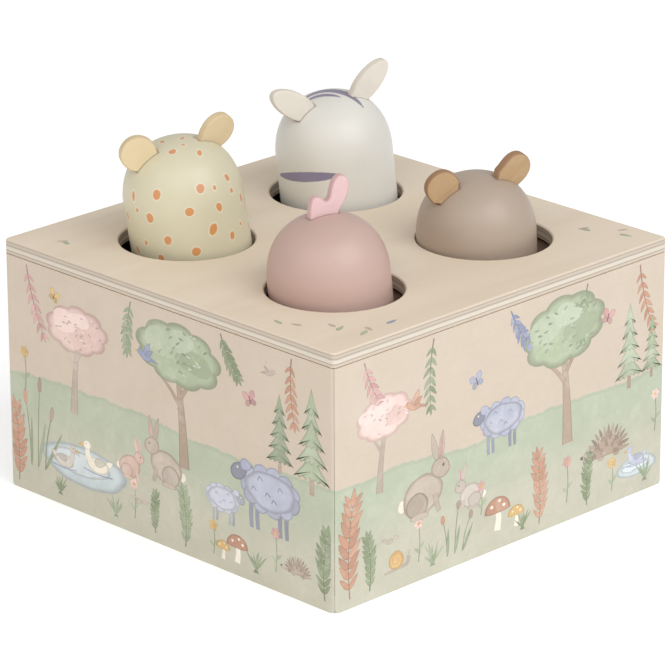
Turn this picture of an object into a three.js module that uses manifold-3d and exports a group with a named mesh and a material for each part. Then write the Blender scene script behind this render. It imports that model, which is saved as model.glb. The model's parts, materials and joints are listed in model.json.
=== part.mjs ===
// Pop-up animal toy: a plywood box with four round holes in its lid. A turned wooden animal stands in
// each hole on a coil spring, is pressed down with a finger and pops up again. A wooden disc screwed
// under each animal is wider than the hole, so that the animal can't come out.
// Millimetres, +Z up. The origin is the middle of the box on the surface that it stands on. The corner
// at -X -Y is the front one: the front right wall faces -Y and the front left wall faces -X.

import * as THREE from "three";
import { mergeVertices } from "three/addons/utils/BufferGeometryUtils.js";
import Module from "manifold-3d";

const wasm = await Module();
wasm.setup();

// Clearances
const fitGap = 0.3; // between a turned, slotted or screwed piece and its seat
const glueLine = 0.1; // between glued boards
const stopGap = 0.3; // between a disc's high edge and the lid above it
const cutOverrun = 1; // how far a cut runs past the face that it starts from
const weldDistance = 0.0001; // vertices nearer than this are one vertex

// Turned animals and the discs that keep them in
const peg = { diameter: 36, domeHeight: 18.7, domeHandleShare: 0.61, footRound: 0.8 };
const disc = { lip: 3.5, thickness: 5, hubHeight: 4, edgeRound: 0.6 };

// Box of birch plywood. play is the air round an animal in its hole, bridge the wood between two
// holes, margin the wood between a hole and the box's side, and a disc's lip its hold past a hole.
const hole = { play: 2.5, bridge: 21.6, margin: 18.2 };
const box = { height: 79, cornerRadius: 1.6, footRadius: 2.5 };
const lid = { thickness: 4.5, edgeRound: 0.4 };
const wall = { thickness: 6, mitreGap: 0.1 };
const base = { thickness: 4, inset: 2 };
const cornerBlock = { width: 13, chamfer: 4 };

// Springs and what they stand on. play is the air between a spring and the stub or hub inside it,
// and rim is how far a seat reaches past its spring.
const spring = { wire: 1.2, meanDiameter: 24, turns: 8, endTurns: 1, endCoilGap: 0.6, play: 1.9 };
const springSeat = { rim: 3.4, thickness: 3, stubHeight: 5, edgeRound: 0.6 };

// Screws. The disc's screw has a pan head, sunk in the hub. The base's screws are countersunk.
const discScrew = { shank: 3.2, head: 7, headHeight: 2, headRound: 0.7, bite: 10, sink: 3 };
const baseScrew = { shank: 3, head: 6, headHeight: 1.8, tip: 2, bite: 12, sunk: 0.2 };
const recess = { length: 3.4, width: 0.9, depth: 0.9 };

// How each animal stands: its crown above the lid along its axis, and how far its axis lies from
// the hole's middle at the lid's top face, to the left seen from the front corner. All lean that way.
const crown = { leopard: 31.8, zebra: 31.8, hippo: 20.2, flamingo: 22.8 };
const slip = { leopard: -1, zebra: -0.7, hippo: 2.2, flamingo: 1.35 };
const leanDegrees = { leopard: 8.3, zebra: 5.5, hippo: 2.5, flamingo: 5 };
const leanHeadingDegrees = 135;

// Ear plates. The two ears of an animal stand in front of its axis. An ear widens from its straight
// base to halfWidth, base above it, and upper more is its tip. Its tab, narrower than the base, stands
// in the dome.
const ear = { thickness: 3, edgeRound: 0.5, planeDegrees: -20, sideHandleShare: 0.57 };
const leopardEar = {
  halfWidth: 5.4,
  upper: 5.7,
  base: 3.2,
  baseHalfWidth: 4.5,
  tabHalfWidth: 3.2,
  tabDepth: 5,
  forward: 2.6,
};
const zebraEar = {
  halfWidth: 4.1,
  upper: 8.6,
  base: 5.5,
  baseHalfWidth: 2.9,
  tabHalfWidth: 2,
  tabDepth: 5,
  forward: 3.7,
};
const hippoEar = {
  halfWidth: 5.2,
  upper: 5.2,
  base: 2.1,
  baseHalfWidth: 5,
  tabHalfWidth: 3.4,
  tabDepth: 5,
  forward: 3.5,
};

// The flamingo's comb: a bridge that crosses the crown, sunk a little, a tab below it and two
// leaf-shaped lobes. Heights are above the crown.
const comb = { across: -0.6, halfWidth: 4.1, sink: 0.3, tabHalfWidth: 2.8, tabDepth: 4 };
const combTop = { halfWidth: 3.2, height: 3.6 };
const smallLobe = { across: -1.5, rise: 3, halfWidth: 2.1, upper: 2.9, lower: 2.7, tiltDegrees: 10 };
const largeLobe = { across: 5, rise: 6.1, halfWidth: 2.8, upper: 4.6, lower: 5.9, tiltDegrees: 15 };
const lobeHandleShare = 0.6;

// What each animal is like. An ear's widest place is across from the axis and drop below the crown,
// and the ear leans out by its tilt and faces outwards by its turn.
const figures = [
  {
    name: "leopard",
    column: -1,
    row: 1,
    paint: 0xe0d8bc,
    earPaint: 0xead9ae,
    ear: leopardEar,
    earHandleShare: 0.58,
    leftEar: { across: 12.7, drop: 0.9, tiltDegrees: 49, turnDegrees: 12 },
    rightEar: { across: 12.9, drop: 0.6, tiltDegrees: 59, turnDegrees: 22 },
  },
  {
    name: "zebra",
    column: 1,
    row: 1,
    paint: 0xe6e2da,
    earPaint: 0xece6d8,
    ear: zebraEar,
    earHandleShare: 0.52,
    leftEar: { across: 13.2, drop: 0.5, tiltDegrees: 54, turnDegrees: 0 },
    rightEar: { across: 11.9, drop: -1.5, tiltDegrees: 49, turnDegrees: 12 },
  },
  {
    name: "hippo",
    column: 1,
    row: -1,
    paint: 0xb8a594,
    earPaint: 0xc9a67a,
    ear: hippoEar,
    earHandleShare: 0.61,
    leftEar: { across: 12.3, drop: 1.2, tiltDegrees: 34, turnDegrees: 7 },
    rightEar: { across: 11.5, drop: -0.4, tiltDegrees: 50, turnDegrees: 15 },
  },
  {
    name: "flamingo",
    column: -1,
    row: -1,
    paint: 0xcbaba0,
    combPaint: 0xf0c8ca,
  },
];

// How finely round things are divided
const holeSegments = 40;
const cornerSteps = 3;
const pegSegments = 36;
const domeSteps = 12;
const discSegments = 28;
const screwSegments = 12;
const petalSteps = 7;
const sideSteps = 3;
const coilStepsPerTurn = 8;
const wireSides = 5;

// Sizes that follow from these
const holeDiameter = peg.diameter + 2 * hole.play;
const holeSpacing = holeDiameter + hole.bridge;
const boxSide = holeSpacing + holeDiameter + 2 * hole.margin;
const wallFit = boxSide - 2 * (wall.thickness + glueLine);
const discDiameter = holeDiameter + 2 * disc.lip;
const centringDiameter = spring.meanDiameter - spring.wire - 2 * spring.play;
const seatDiameter = spring.meanDiameter + spring.wire + 2 * springSeat.rim;
const lidUnderside = box.height - lid.thickness;
const baseTop = base.inset + base.thickness;
const seatTop = baseTop + glueLine + springSeat.thickness;

const radians = THREE.MathUtils.degToRad;
const up = new THREE.Vector3(0, 0, 1);

// A manifold solid from a closed three.js geometry.
function solidFrom(geometry) {
  const bare = geometry.index ? geometry.toNonIndexed() : geometry.clone();
  bare.deleteAttribute("normal");
  bare.deleteAttribute("uv");
  const merged = mergeVertices(bare, weldDistance);
  const mesh = new wasm.Mesh({
    numProp: 3,
    vertProperties: merged.attributes.position.array,
    triVerts: new Uint32Array(merged.index.array),
  });
  return new wasm.Manifold(mesh);
}

// A three.js geometry from a manifold solid.
function geometryFrom(solid) {
  const { vertProperties, triVerts } = solid.getMesh();
  const geometry = new THREE.BufferGeometry();
  geometry.setAttribute("position", new THREE.BufferAttribute(vertProperties, 3));
  geometry.setIndex(new THREE.BufferAttribute(triVerts, 1));
  geometry.computeVertexNormals();
  return geometry;
}

function cut(geometry, ...tools) {
  return geometryFrom(tools.reduce((left, tool) => left.subtract(solidFrom(tool)), solidFrom(geometry)));
}

function join(first, ...others) {
  return geometryFrom(others.reduce((sum, part) => sum.add(solidFrom(part)), solidFrom(first)));
}

function namedMesh(name, geometry, paint, roughness, metalness = 0) {
  const material = new THREE.MeshStandardMaterial({ color: paint, roughness, metalness });
  const mesh = new THREE.Mesh(geometry, material);
  mesh.name = name;
  return mesh;
}

const plywood = (name, geometry) => namedMesh(name, geometry, 0xdccbb0, 0.6);
const beech = (name, geometry) => namedMesh(name, geometry, 0xd9bd94, 0.65);
const steel = (name, geometry) => namedMesh(name, geometry, 0xb9bcc0, 0.3, 1);

// A turned piece: profile is a list of [radius, height] that runs up the outside.
function turned(profile, segments) {
  const points = profile.map(([radius, height]) => new THREE.Vector2(radius, height));
  return new THREE.LatheGeometry(points, segments).rotateX(Math.PI / 2);
}

// A board that stands on the plane z = low, with the outline seen from above.
function board(outline, low, thickness, curveSegments) {
  const options = { depth: thickness, bevelEnabled: false, curveSegments };
  return new THREE.ExtrudeGeometry(outline, options).translate(0, 0, low);
}

// A flat plate with eased edges, its middle plane at z = 0.
function easedPlate(outline, thickness, edgeRound, curveSegments) {
  const options = {
    depth: thickness - 2 * edgeRound,
    bevelThickness: edgeRound,
    bevelSize: edgeRound,
    bevelOffset: -edgeRound,
    bevelSegments: 1,
    curveSegments,
  };
  return new THREE.ExtrudeGeometry(outline, options).translate(0, 0, edgeRound - thickness / 2);
}

function roundedSquare(side, radius) {
  const reach = side / 2 - radius;
  const outline = new THREE.Shape();
  outline.absarc(reach, reach, radius, 0, Math.PI / 2);
  outline.absarc(-reach, reach, radius, Math.PI / 2, Math.PI);
  outline.absarc(-reach, -reach, radius, Math.PI, 1.5 * Math.PI);
  outline.absarc(reach, -reach, radius, 1.5 * Math.PI, 2 * Math.PI);
  return outline;
}

function holeCentre(figure) {
  return new THREE.Vector2(figure.column, figure.row).multiplyScalar(holeSpacing / 2);
}

// What a hole takes out of the lid, with the ease of its two edges.
function holeTool(figure) {
  const radius = holeDiameter / 2;
  const ease = lid.edgeRound;
  const profile = [
    [0, lidUnderside - cutOverrun],
    [radius + ease + cutOverrun, lidUnderside - cutOverrun],
    [radius, lidUnderside + ease],
    [radius, box.height - ease],
    [radius + ease + cutOverrun, box.height + cutOverrun],
    [0, box.height + cutOverrun],
  ];
  const centre = holeCentre(figure);
  return turned(profile, holeSegments).translate(centre.x, centre.y, 0);
}

// The lid: a rounded square with the four holes, every edge eased.
function lidGeometry() {
  const outline = roundedSquare(boxSide, box.cornerRadius);
  const plate = easedPlate(outline, lid.thickness, lid.edgeRound, cornerSteps);
  plate.translate(0, 0, box.height - lid.thickness / 2);
  return cut(plate, ...figures.map(holeTool));
}

// One wall, facing -Y: its plan has a rounded outer corner and a mitre at each end, and the lower
// corners of its face are rounded.
function wallGeometry() {
  const half = boxSide / 2;
  const reach = half - box.cornerRadius;
  const corner = Math.PI / 4 - Math.asin(wall.mitreGap / 2 / box.cornerRadius);
  const inner = half - wall.thickness;
  const innerEnd = inner - wall.mitreGap;
  const plan = new THREE.Shape();
  plan.absarc(reach, -reach, box.cornerRadius, -Math.PI / 2, -Math.PI / 2 + corner);
  plan.lineTo(innerEnd, -inner);
  plan.lineTo(-innerEnd, -inner);
  plan.absarc(-reach, -reach, box.cornerRadius, -Math.PI / 2 - corner, -Math.PI / 2);
  const wallTop = lidUnderside - glueLine;
  const bend = box.footRadius;
  const face = new THREE.Shape();
  face.moveTo(half, wallTop);
  face.lineTo(-half, wallTop);
  face.absarc(-half + bend, bend, bend, Math.PI, 1.5 * Math.PI);
  face.absarc(half - bend, bend, bend, 1.5 * Math.PI, 2 * Math.PI);
  const upright = board(plan, 0, wallTop, cornerSteps);
  const depth = wall.thickness + 2 * cutOverrun;
  const options = { depth, bevelEnabled: false, curveSegments: cornerSteps };
  const slab = new THREE.ExtrudeGeometry(face, options).rotateX(Math.PI / 2);
  slab.translate(0, wall.thickness + cutOverrun - half, 0);
  return geometryFrom(solidFrom(upright).intersect(solidFrom(slab)));
}

function cornerPosts() {
  const reach = wallFit / 2 - cornerBlock.width / 2;
  return [
    ["front", -reach, -reach],
    ["right", reach, -reach],
    ["back", reach, reach],
    ["left", -reach, reach],
  ];
}

// The base: a square board let in between the walls, countersunk for its four screws.
function baseGeometry() {
  const square = [wallFit / 2, wallFit / 2, -wallFit / 2, wallFit / 2];
  const panel = board(taper(...square), base.inset, base.thickness, 1);
  const sink = [
    [0, base.inset - cutOverrun],
    [baseScrew.head / 2 + fitGap, base.inset - cutOverrun],
    [baseScrew.head / 2 + fitGap, base.inset + baseScrew.sunk],
    [baseScrew.shank / 2 + fitGap, base.inset + baseScrew.sunk + baseScrew.headHeight],
    [baseScrew.shank / 2 + fitGap, baseTop + cutOverrun],
    [0, baseTop + cutOverrun],
  ];
  const tools = cornerPosts().map(([, x, y]) => turned(sink, screwSegments).translate(x, y, 0));
  return cut(panel, ...tools);
}

// A post in the corner between two walls, with a pilot hole from below. Its inner edge, towards
// +X +Y here, is chamfered.
function cornerBlockGeometry() {
  const half = cornerBlock.width / 2;
  const plan = new THREE.Shape();
  plan.moveTo(-half, -half);
  plan.lineTo(half, -half);
  plan.lineTo(half, half - cornerBlock.chamfer);
  plan.lineTo(half - cornerBlock.chamfer, half);
  plan.lineTo(-half, half);
  const low = baseTop + glueLine;
  const post = board(plan, low, lidUnderside - glueLine - low, 1);
  const pilotTop = low + baseScrew.bite + fitGap;
  const pilot = [
    [0, low - cutOverrun],
    [baseScrew.shank / 2 + fitGap, low - cutOverrun],
    [baseScrew.shank / 2 + fitGap, pilotTop],
    [0, pilotTop],
  ];
  return cut(post, turned(pilot, screwSegments));
}

// A cross recess for a screw whose driven face is at z = low.
function crossRecess(low) {
  const height = recess.depth + cutOverrun;
  const bars = [0, Math.PI / 2].map((turn) =>
    new THREE.BoxGeometry(recess.length, recess.width, height).rotateZ(turn),
  );
  return join(...bars).translate(0, 0, low + recess.depth - height / 2);
}

function baseScrewGeometry() {
  const low = base.inset + baseScrew.sunk;
  const tipTop = baseTop + glueLine + baseScrew.bite;
  const profile = [
    [0, low],
    [baseScrew.head / 2, low],
    [baseScrew.shank / 2, low + baseScrew.headHeight],
    [baseScrew.shank / 2, tipTop - baseScrew.tip],
    [0, tipTop],
  ];
  return cut(turned(profile, screwSegments), crossRecess(low));
}

// A turned seat glued to the base: a flange that the spring stands on and a stub that centres it.
function seatGeometry() {
  const rim = seatDiameter / 2;
  const stub = centringDiameter / 2;
  const round = springSeat.edgeRound;
  const stubTop = seatTop + springSeat.stubHeight;
  const profile = [
    [0, baseTop + glueLine],
    [rim, baseTop + glueLine],
    [rim, seatTop - round],
    [rim - round, seatTop],
    [stub, seatTop],
    [stub, stubTop - round],
    [stub - round, stubTop],
    [0, stubTop],
  ];
  return turned(profile, discSegments);
}

// How far an animal's foot lies below the lid's top face along its axis. Its disc leans with it, and
// the disc's high edge stays stopGap below the lid.
function footDepth(figure) {
  const lean = radians(leanDegrees[figure.name]);
  const rise = (discDiameter / 2) * Math.sin(lean);
  return (lid.thickness + stopGap + rise) / Math.cos(lean) - fitGap;
}

// The axis of an animal: where it crosses the lid's top face, and its direction.
function axisOf(figure) {
  const heading = radians(leanHeadingDegrees);
  const lean = radians(leanDegrees[figure.name]);
  const aside = new THREE.Vector3(Math.cos(heading), Math.sin(heading), 0);
  const centre = holeCentre(figure);
  const point = new THREE.Vector3(centre.x, centre.y, box.height).addScaledVector(aside, slip[figure.name]);
  const direction = aside.multiplyScalar(Math.sin(lean)).addScaledVector(up, Math.cos(lean));
  return { point, direction };
}

// The dome's outline from its widest ring to its crown, as a curve in [radius, height].
function domeCurve(figure) {
  const radius = peg.diameter / 2;
  const high = crown[figure.name];
  const low = high - peg.domeHeight;
  return new THREE.CubicBezierCurve(
    new THREE.Vector2(radius, low),
    new THREE.Vector2(radius, low + peg.domeHeight * peg.domeHandleShare),
    new THREE.Vector2(radius * peg.domeHandleShare, high),
    new THREE.Vector2(0, high),
  );
}

// The turned body of an animal, with its screw hole. Height 0 is the lid's top face.
function pegGeometry(figure) {
  const foot = -footDepth(figure);
  const radius = peg.diameter / 2;
  const bore = discScrew.shank / 2 + fitGap;
  const boreTop = foot + discScrew.bite + fitGap;
  const dome = domeCurve(figure)
    .getPoints(domeSteps)
    .map((point) => [point.x, point.y]);
  const profile = [
    [0, boreTop],
    [bore, boreTop],
    [bore, foot],
    [radius - peg.footRound, foot],
    [radius, foot + peg.footRound],
    ...dome,
  ];
  return turned(profile, pegSegments);
}

// An ear's outline, its widest place at height 0. grow makes the outline larger all round, for the
// slot that takes the ear.
function earOutline(shape, handleShare, grow) {
  const wide = shape.halfWidth + grow;
  const tip = shape.upper + grow;
  const low = -shape.base - grow;
  const foot = shape.baseHalfWidth + grow;
  const tab = shape.tabHalfWidth + grow;
  const side = new THREE.QuadraticBezierCurve(
    new THREE.Vector2(foot, low),
    new THREE.Vector2(wide, low * ear.sideHandleShare),
    new THREE.Vector2(wide, 0),
  ).getPoints(sideSteps);
  const outline = new THREE.Shape();
  outline.moveTo(-tab, low - shape.tabDepth);
  outline.lineTo(tab, low - shape.tabDepth);
  outline.lineTo(tab, low);
  for (const { x, y } of side) outline.lineTo(x, y);
  outline.bezierCurveTo(wide, tip * handleShare, wide * handleShare, tip, 0, tip);
  outline.bezierCurveTo(-wide * handleShare, tip, -wide, tip * handleShare, -wide, 0);
  for (const { x, y } of side.reverse()) outline.lineTo(-x, y);
  outline.lineTo(-tab, low);
  return outline;
}

// A plate that stands up with its outline's zero at the point [across, height], leaning out by tilt.
function standUp(plate, tilt, across, height) {
  return plate.rotateY(tilt).translate(across, 0, height);
}

function earGeometry(figure, side, grow = 0) {
  const { ear: shape, leftEar, rightEar } = figure;
  const { across, drop, tiltDegrees, turnDegrees } = side < 0 ? leftEar : rightEar;
  const outline = earOutline(shape, figure.earHandleShare, grow);
  const edgeRound = grow || ear.edgeRound;
  const plate = easedPlate(outline, ear.thickness + 2 * grow, edgeRound, petalSteps);
  plate.rotateX(Math.PI / 2).rotateZ(side * radians(turnDegrees));
  standUp(plate, side * radians(tiltDegrees), side * across, crown[figure.name] - drop);
  return plate.translate(0, -shape.forward, 0);
}

function lobeOutline(lobe, grow) {
  const handleShare = lobeHandleShare;
  const wide = lobe.halfWidth + grow;
  const high = lobe.upper + grow;
  const low = -lobe.lower - grow;
  const outline = new THREE.Shape();
  outline.moveTo(0, low);
  outline.bezierCurveTo(wide * handleShare, low, wide, low * handleShare, wide, 0);
  outline.bezierCurveTo(wide, high * handleShare, wide * handleShare, high, 0, high);
  outline.bezierCurveTo(-wide * handleShare, high, -wide, high * handleShare, -wide, 0);
  outline.bezierCurveTo(-wide, low * handleShare, -wide * handleShare, low, 0, low);
  return outline;
}

// An upright outline with a flat foot and top, of two half widths.
function taper(lowHalf, highHalf, low, high) {
  const outline = new THREE.Shape();
  outline.moveTo(-lowHalf, low);
  outline.lineTo(lowHalf, low);
  outline.lineTo(highHalf, high);
  outline.lineTo(-highHalf, high);
  return outline;
}

// The flamingo's comb: two leaf-shaped lobes on one bridge, whose tab stands in a slot in the crown.
function combGeometry(grow = 0) {
  const root = crown.flamingo;
  const upright = (outline, steps) =>
    easedPlate(outline, ear.thickness + 2 * grow, grow || ear.edgeRound, steps).rotateX(Math.PI / 2);
  const low = -comb.sink - grow;
  const tabHalf = comb.tabHalfWidth + grow;
  const bridge = taper(comb.halfWidth + grow, combTop.halfWidth + grow, low, combTop.height);
  const tab = taper(tabHalf, tabHalf, low - comb.tabDepth, combTop.height);
  const parts = [bridge, tab].map((outline) => standUp(upright(outline, 1), 0, comb.across, root));
  for (const lobe of [smallLobe, largeLobe]) {
    const plate = upright(lobeOutline(lobe, grow), petalSteps);
    parts.push(standUp(plate, radians(lobe.tiltDegrees), lobe.across, root + lobe.rise));
  }
  return join(...parts);
}

// The disc under an animal, its top face at height 0, with a hub that centres the spring and holds
// the screw's head.
function discGeometry() {
  const rim = discDiameter / 2;
  const round = disc.edgeRound;
  const hub = centringDiameter / 2;
  const low = -disc.thickness - disc.hubHeight;
  const bore = discScrew.shank / 2 + fitGap;
  const well = discScrew.head / 2 + fitGap;
  const wellTop = low + discScrew.sink;
  const profile = [
    [well, low],
    [hub - round, low],
    [hub, low + round],
    [hub, -disc.thickness],
    [rim - round, -disc.thickness],
    [rim, round - disc.thickness],
    [rim, -round],
    [rim - round, 0],
    [bore, 0],
    [bore, wellTop],
    [well, wellTop],
    [well, low],
  ];
  return turned(profile, discSegments);
}

// The screw that holds a disc on its animal. Height 0 is the disc's top face.
function discScrewGeometry() {
  const seat = -disc.thickness - disc.hubHeight + discScrew.sink - fitGap;
  const low = seat - discScrew.headHeight;
  const tip = fitGap + discScrew.bite;
  const profile = [
    [0, low],
    [discScrew.head / 2 - discScrew.headRound, low],
    [discScrew.head / 2, low + discScrew.headRound],
    [discScrew.head / 2, seat],
    [discScrew.shank / 2, seat],
    [discScrew.shank / 2, tip - discScrew.shank / 2],
    [0, tip],
  ];
  return cut(turned(profile, screwSegments), crossRecess(low));
}

// The line that a spring's coils go round: it leaves the seat upright and meets the leaning disc
// square.
function springLine(figure) {
  const { point, direction } = axisOf(figure);
  const centre = holeCentre(figure);
  const foot = new THREE.Vector3(centre.x, centre.y, seatTop);
  const top = point.clone().addScaledVector(direction, -footDepth(figure) - fitGap - disc.thickness);
  const handle = foot.distanceTo(top) / 3;
  const line = new THREE.CubicBezierCurve3(
    foot,
    foot.clone().addScaledVector(up, handle),
    top.clone().addScaledVector(direction, -handle),
    top,
  );
  return { line, length: foot.distanceTo(top) };
}

// Points along the middle of a spring's wire. The first and last turns are nearly closed, and each
// end runs straight on for one wire diameter.
function wirePoints(figure) {
  const { line, length } = springLine(figure);
  const endShare = (spring.wire / 2 + fitGap) / length;
  const closedShare = (spring.endTurns * (spring.wire + spring.endCoilGap)) / length;
  const openTurns = spring.turns - 2 * spring.endTurns;
  const openShare = 1 - 2 * (endShare + closedShare);
  const heightShare = (turn) => {
    const closedLow = Math.min(turn, spring.endTurns) / spring.endTurns;
    const closedHigh = Math.max(0, turn - spring.turns + spring.endTurns) / spring.endTurns;
    const open = Math.min(Math.max(turn - spring.endTurns, 0), openTurns) / openTurns;
    return endShare + closedShare * (closedLow + closedHigh) + openShare * open;
  };
  const points = [];
  const steps = spring.turns * coilStepsPerTurn;
  for (let step = 0; step <= steps; step++) {
    const turn = step / coilStepsPerTurn;
    const middle = line.getPoint(heightShare(turn));
    const along = line.getTangent(heightShare(turn));
    const sideways = new THREE.Vector3(1, 0, 0).addScaledVector(along, -along.x).normalize();
    const radial = sideways.applyAxisAngle(along, 2 * Math.PI * turn);
    points.push({ middle, place: middle.clone().addScaledVector(radial, spring.meanDiameter / 2) });
  }
  const extend = (end, next) => {
    const onward = end.place.clone().sub(next.place).setLength(spring.wire);
    return { middle: end.middle.clone().add(onward), place: end.place.clone().add(onward) };
  };
  return [extend(points[0], points[1]), ...points, extend(points.at(-1), points.at(-2))];
}

// The least gap between turns of a spring: the distance between points of its wire that are at least
// half a turn apart, less the wire.
function leastGap(points) {
  let least = Infinity;
  points.forEach((one, i) => {
    points.slice(i + Math.ceil(coilStepsPerTurn / 2)).forEach((other) => {
      least = Math.min(least, one.place.distanceTo(other.place));
    });
  });
  return least - spring.wire;
}

// An unbroken wire of wireSides sides along the points.
function springGeometry(figure) {
  const points = wirePoints(figure);
  console.log(figure.name + " spring, least gap to itself: " + leastGap(points).toFixed(2) + " mm");
  const places = [];
  points.forEach(({ middle, place }, i) => {
    const before = points[Math.max(i - 1, 0)].place;
    const after = points[Math.min(i + 1, points.length - 1)].place;
    const along = after.clone().sub(before).normalize();
    const outward = place.clone().sub(middle);
    outward.addScaledVector(along, -outward.dot(along)).setLength(spring.wire / 2);
    for (let side = 0; side < wireSides; side++) {
      const spoke = outward.clone().applyAxisAngle(along, (2 * Math.PI * side) / wireSides);
      places.push(...place.clone().add(spoke).toArray());
    }
  });
  const faces = [];
  for (let ring = 0; ring < points.length - 1; ring++) {
    for (let side = 0; side < wireSides; side++) {
      const a = ring * wireSides + side;
      const b = ring * wireSides + ((side + 1) % wireSides);
      faces.push(a, b, b + wireSides, a, b + wireSides, a + wireSides);
    }
  }
  const last = (points.length - 1) * wireSides;
  for (let side = 1; side < wireSides - 1; side++) {
    faces.push(0, side + 1, side, last, last + side, last + side + 1);
  }
  const geometry = new THREE.BufferGeometry();
  geometry.setAttribute("position", new THREE.Float32BufferAttribute(places, 3));
  geometry.setIndex(faces);
  geometry.computeVertexNormals();
  return geometry;
}

// An animal and its disc and screw, standing on their leaning axis.
function makeFigure(figure) {
  const { point, direction } = axisOf(figure);
  const group = new THREE.Group();
  group.position.copy(point);
  group.quaternion.setFromUnitVectors(up, direction);
  const turnedBy = new THREE.Quaternion().setFromAxisAngle(up, radians(ear.planeDegrees));
  group.quaternion.multiply(turnedBy);
  const painted = (name, geometry, paint) => namedMesh(figure.name + name, geometry, paint, 0.45);
  const body = pegGeometry(figure);
  if (figure.name === "flamingo") {
    group.add(painted("_body", cut(body, combGeometry(fitGap)), figure.paint));
    group.add(painted("_comb", combGeometry(), figure.combPaint));
  } else {
    const slots = [-1, 1].map((side) => earGeometry(figure, side, fitGap));
    group.add(painted("_body", cut(body, ...slots), figure.paint));
    group.add(painted("_left_ear", earGeometry(figure, -1), figure.earPaint));
    group.add(painted("_right_ear", earGeometry(figure, 1), figure.earPaint));
  }
  const underneath = new THREE.Group();
  underneath.position.z = -footDepth(figure) - fitGap;
  underneath.add(beech(figure.name + "_retaining_disc", discGeometry()));
  underneath.add(steel(figure.name + "_disc_screw", discScrewGeometry()));
  group.add(underneath);
  return group;
}

function makeBox() {
  const group = new THREE.Group();
  group.add(plywood("lid", lidGeometry()));
  ["front_right", "back_right", "back_left", "front_left"].forEach((place, quarter) => {
    const side = plywood(place + "_wall", wallGeometry());
    side.rotation.z = (quarter * Math.PI) / 2;
    group.add(side);
  });
  group.add(plywood("base_panel", baseGeometry()));
  cornerPosts().forEach(([place, x, y], quarter) => {
    const post = beech(place + "_corner_block", cornerBlockGeometry());
    post.position.set(x, y, 0);
    post.rotation.z = (quarter * Math.PI) / 2;
    const screw = steel(place + "_base_screw", baseScrewGeometry());
    screw.position.set(x, y, 0);
    group.add(post, screw);
  });
  for (const figure of figures) {
    const centre = holeCentre(figure);
    const seat = beech(figure.name + "_spring_seat", seatGeometry());
    seat.position.set(centre.x, centre.y, 0);
    group.add(seat, steel(figure.name + "_spring", springGeometry(figure)));
  }
  return group;
}

const toy = new THREE.Group();
toy.add(makeBox());
for (const figure of figures) toy.add(makeFigure(figure));

export default toy;
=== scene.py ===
import json
import math
import random

import bpy
from mathutils import Matrix, Vector


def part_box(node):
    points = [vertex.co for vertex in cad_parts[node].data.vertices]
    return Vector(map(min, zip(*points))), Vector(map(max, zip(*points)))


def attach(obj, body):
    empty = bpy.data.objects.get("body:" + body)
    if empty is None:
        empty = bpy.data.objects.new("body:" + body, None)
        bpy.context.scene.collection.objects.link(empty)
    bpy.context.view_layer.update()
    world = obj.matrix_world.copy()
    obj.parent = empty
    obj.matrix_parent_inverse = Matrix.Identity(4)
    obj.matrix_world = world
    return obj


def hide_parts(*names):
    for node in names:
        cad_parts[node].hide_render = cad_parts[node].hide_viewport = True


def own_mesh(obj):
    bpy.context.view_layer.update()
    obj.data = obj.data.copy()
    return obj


MM = 0.001

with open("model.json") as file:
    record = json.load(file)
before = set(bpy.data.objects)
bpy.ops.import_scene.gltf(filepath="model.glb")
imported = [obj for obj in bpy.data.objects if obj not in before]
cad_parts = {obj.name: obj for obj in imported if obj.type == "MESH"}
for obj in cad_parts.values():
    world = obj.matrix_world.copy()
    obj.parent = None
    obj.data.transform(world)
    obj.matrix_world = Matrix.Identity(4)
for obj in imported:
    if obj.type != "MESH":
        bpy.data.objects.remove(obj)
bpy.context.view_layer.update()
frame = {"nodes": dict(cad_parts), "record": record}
nodes = frame["nodes"]
joints = {joint["name"]: joint for joint in frame["record"]["behaviour"]["joints"]}

ANIMALS = ("leopard", "zebra", "hippo", "flamingo")

# Camera, as the photograph was taken
CAMERA_AZIMUTH = math.radians(-44.655)
CAMERA_ELEVATION = math.radians(20.386)
CAMERA_ROLL = math.radians(-0.229)
CAMERA_DISTANCE = 1359.6 * MM
CAMERA_LENS = 243.0
CAMERA_TARGET = Vector((-0.17, 0.17, 48.0)) * MM


def srgb(red, green, blue):
    """A colour as seen, 0 to 255, as the linear colour that a shader takes."""
    linear = [c / 255 / 12.92 if c <= 10 else ((c / 255 + 0.055) / 1.055) ** 2.4 for c in (red, green, blue)]
    return (*linear, 1.0)


# Node helpers


def connect(tree, socket, value):
    if isinstance(value, bpy.types.NodeSocket):
        tree.links.new(value, socket)
    else:
        socket.default_value = value


def plug(tree, node, **values):
    """Links or sets inputs of a node by their names, with _ for a space."""
    for name, value in values.items():
        connect(tree, node.inputs[name.replace("_", " ")], value)
    return node


def add_node(tree, kind, settings=None, **values):
    node = tree.nodes.new("ShaderNode" + kind)
    for name, value in (settings or {}).items():
        setattr(node, name, value)
    return plug(tree, node, **values)


def calculate(tree, operation, *values, clamp=False):
    node = add_node(tree, "Math", {"operation": operation, "use_clamp": clamp})
    for socket, value in zip(node.inputs, values):
        connect(tree, socket, value)
    return node.outputs[0]


def times(tree, first, second, clamp=False):
    return calculate(tree, "MULTIPLY", first, second, clamp=clamp)


def scaled(tree, value, factor, offset, clamp=False):
    return calculate(tree, "MULTIPLY_ADD", value, factor, offset, clamp=clamp)


def weighted(tree, *parts):
    """The sum of values, each with its weight."""
    total = 0.0
    for value, weight in parts:
        total = scaled(tree, value, weight, total)
    return total


def step_up(tree, value, low, high):
    """0 at low, 1 at high, and smooth between them."""
    smooth = {"interpolation_type": "SMOOTHSTEP"}
    return add_node(tree, "MapRange", smooth, Value=value, From_Min=low, From_Max=high).outputs["Result"]


def mix(tree, share, first, second, blend="MIX"):
    node = add_node(tree, "Mix", {"data_type": "RGBA", "blend_type": blend})
    for index, value in ((0, share), (6, first), (7, second)):
        connect(tree, node.inputs[index], value)
    return node.outputs[2]


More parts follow.
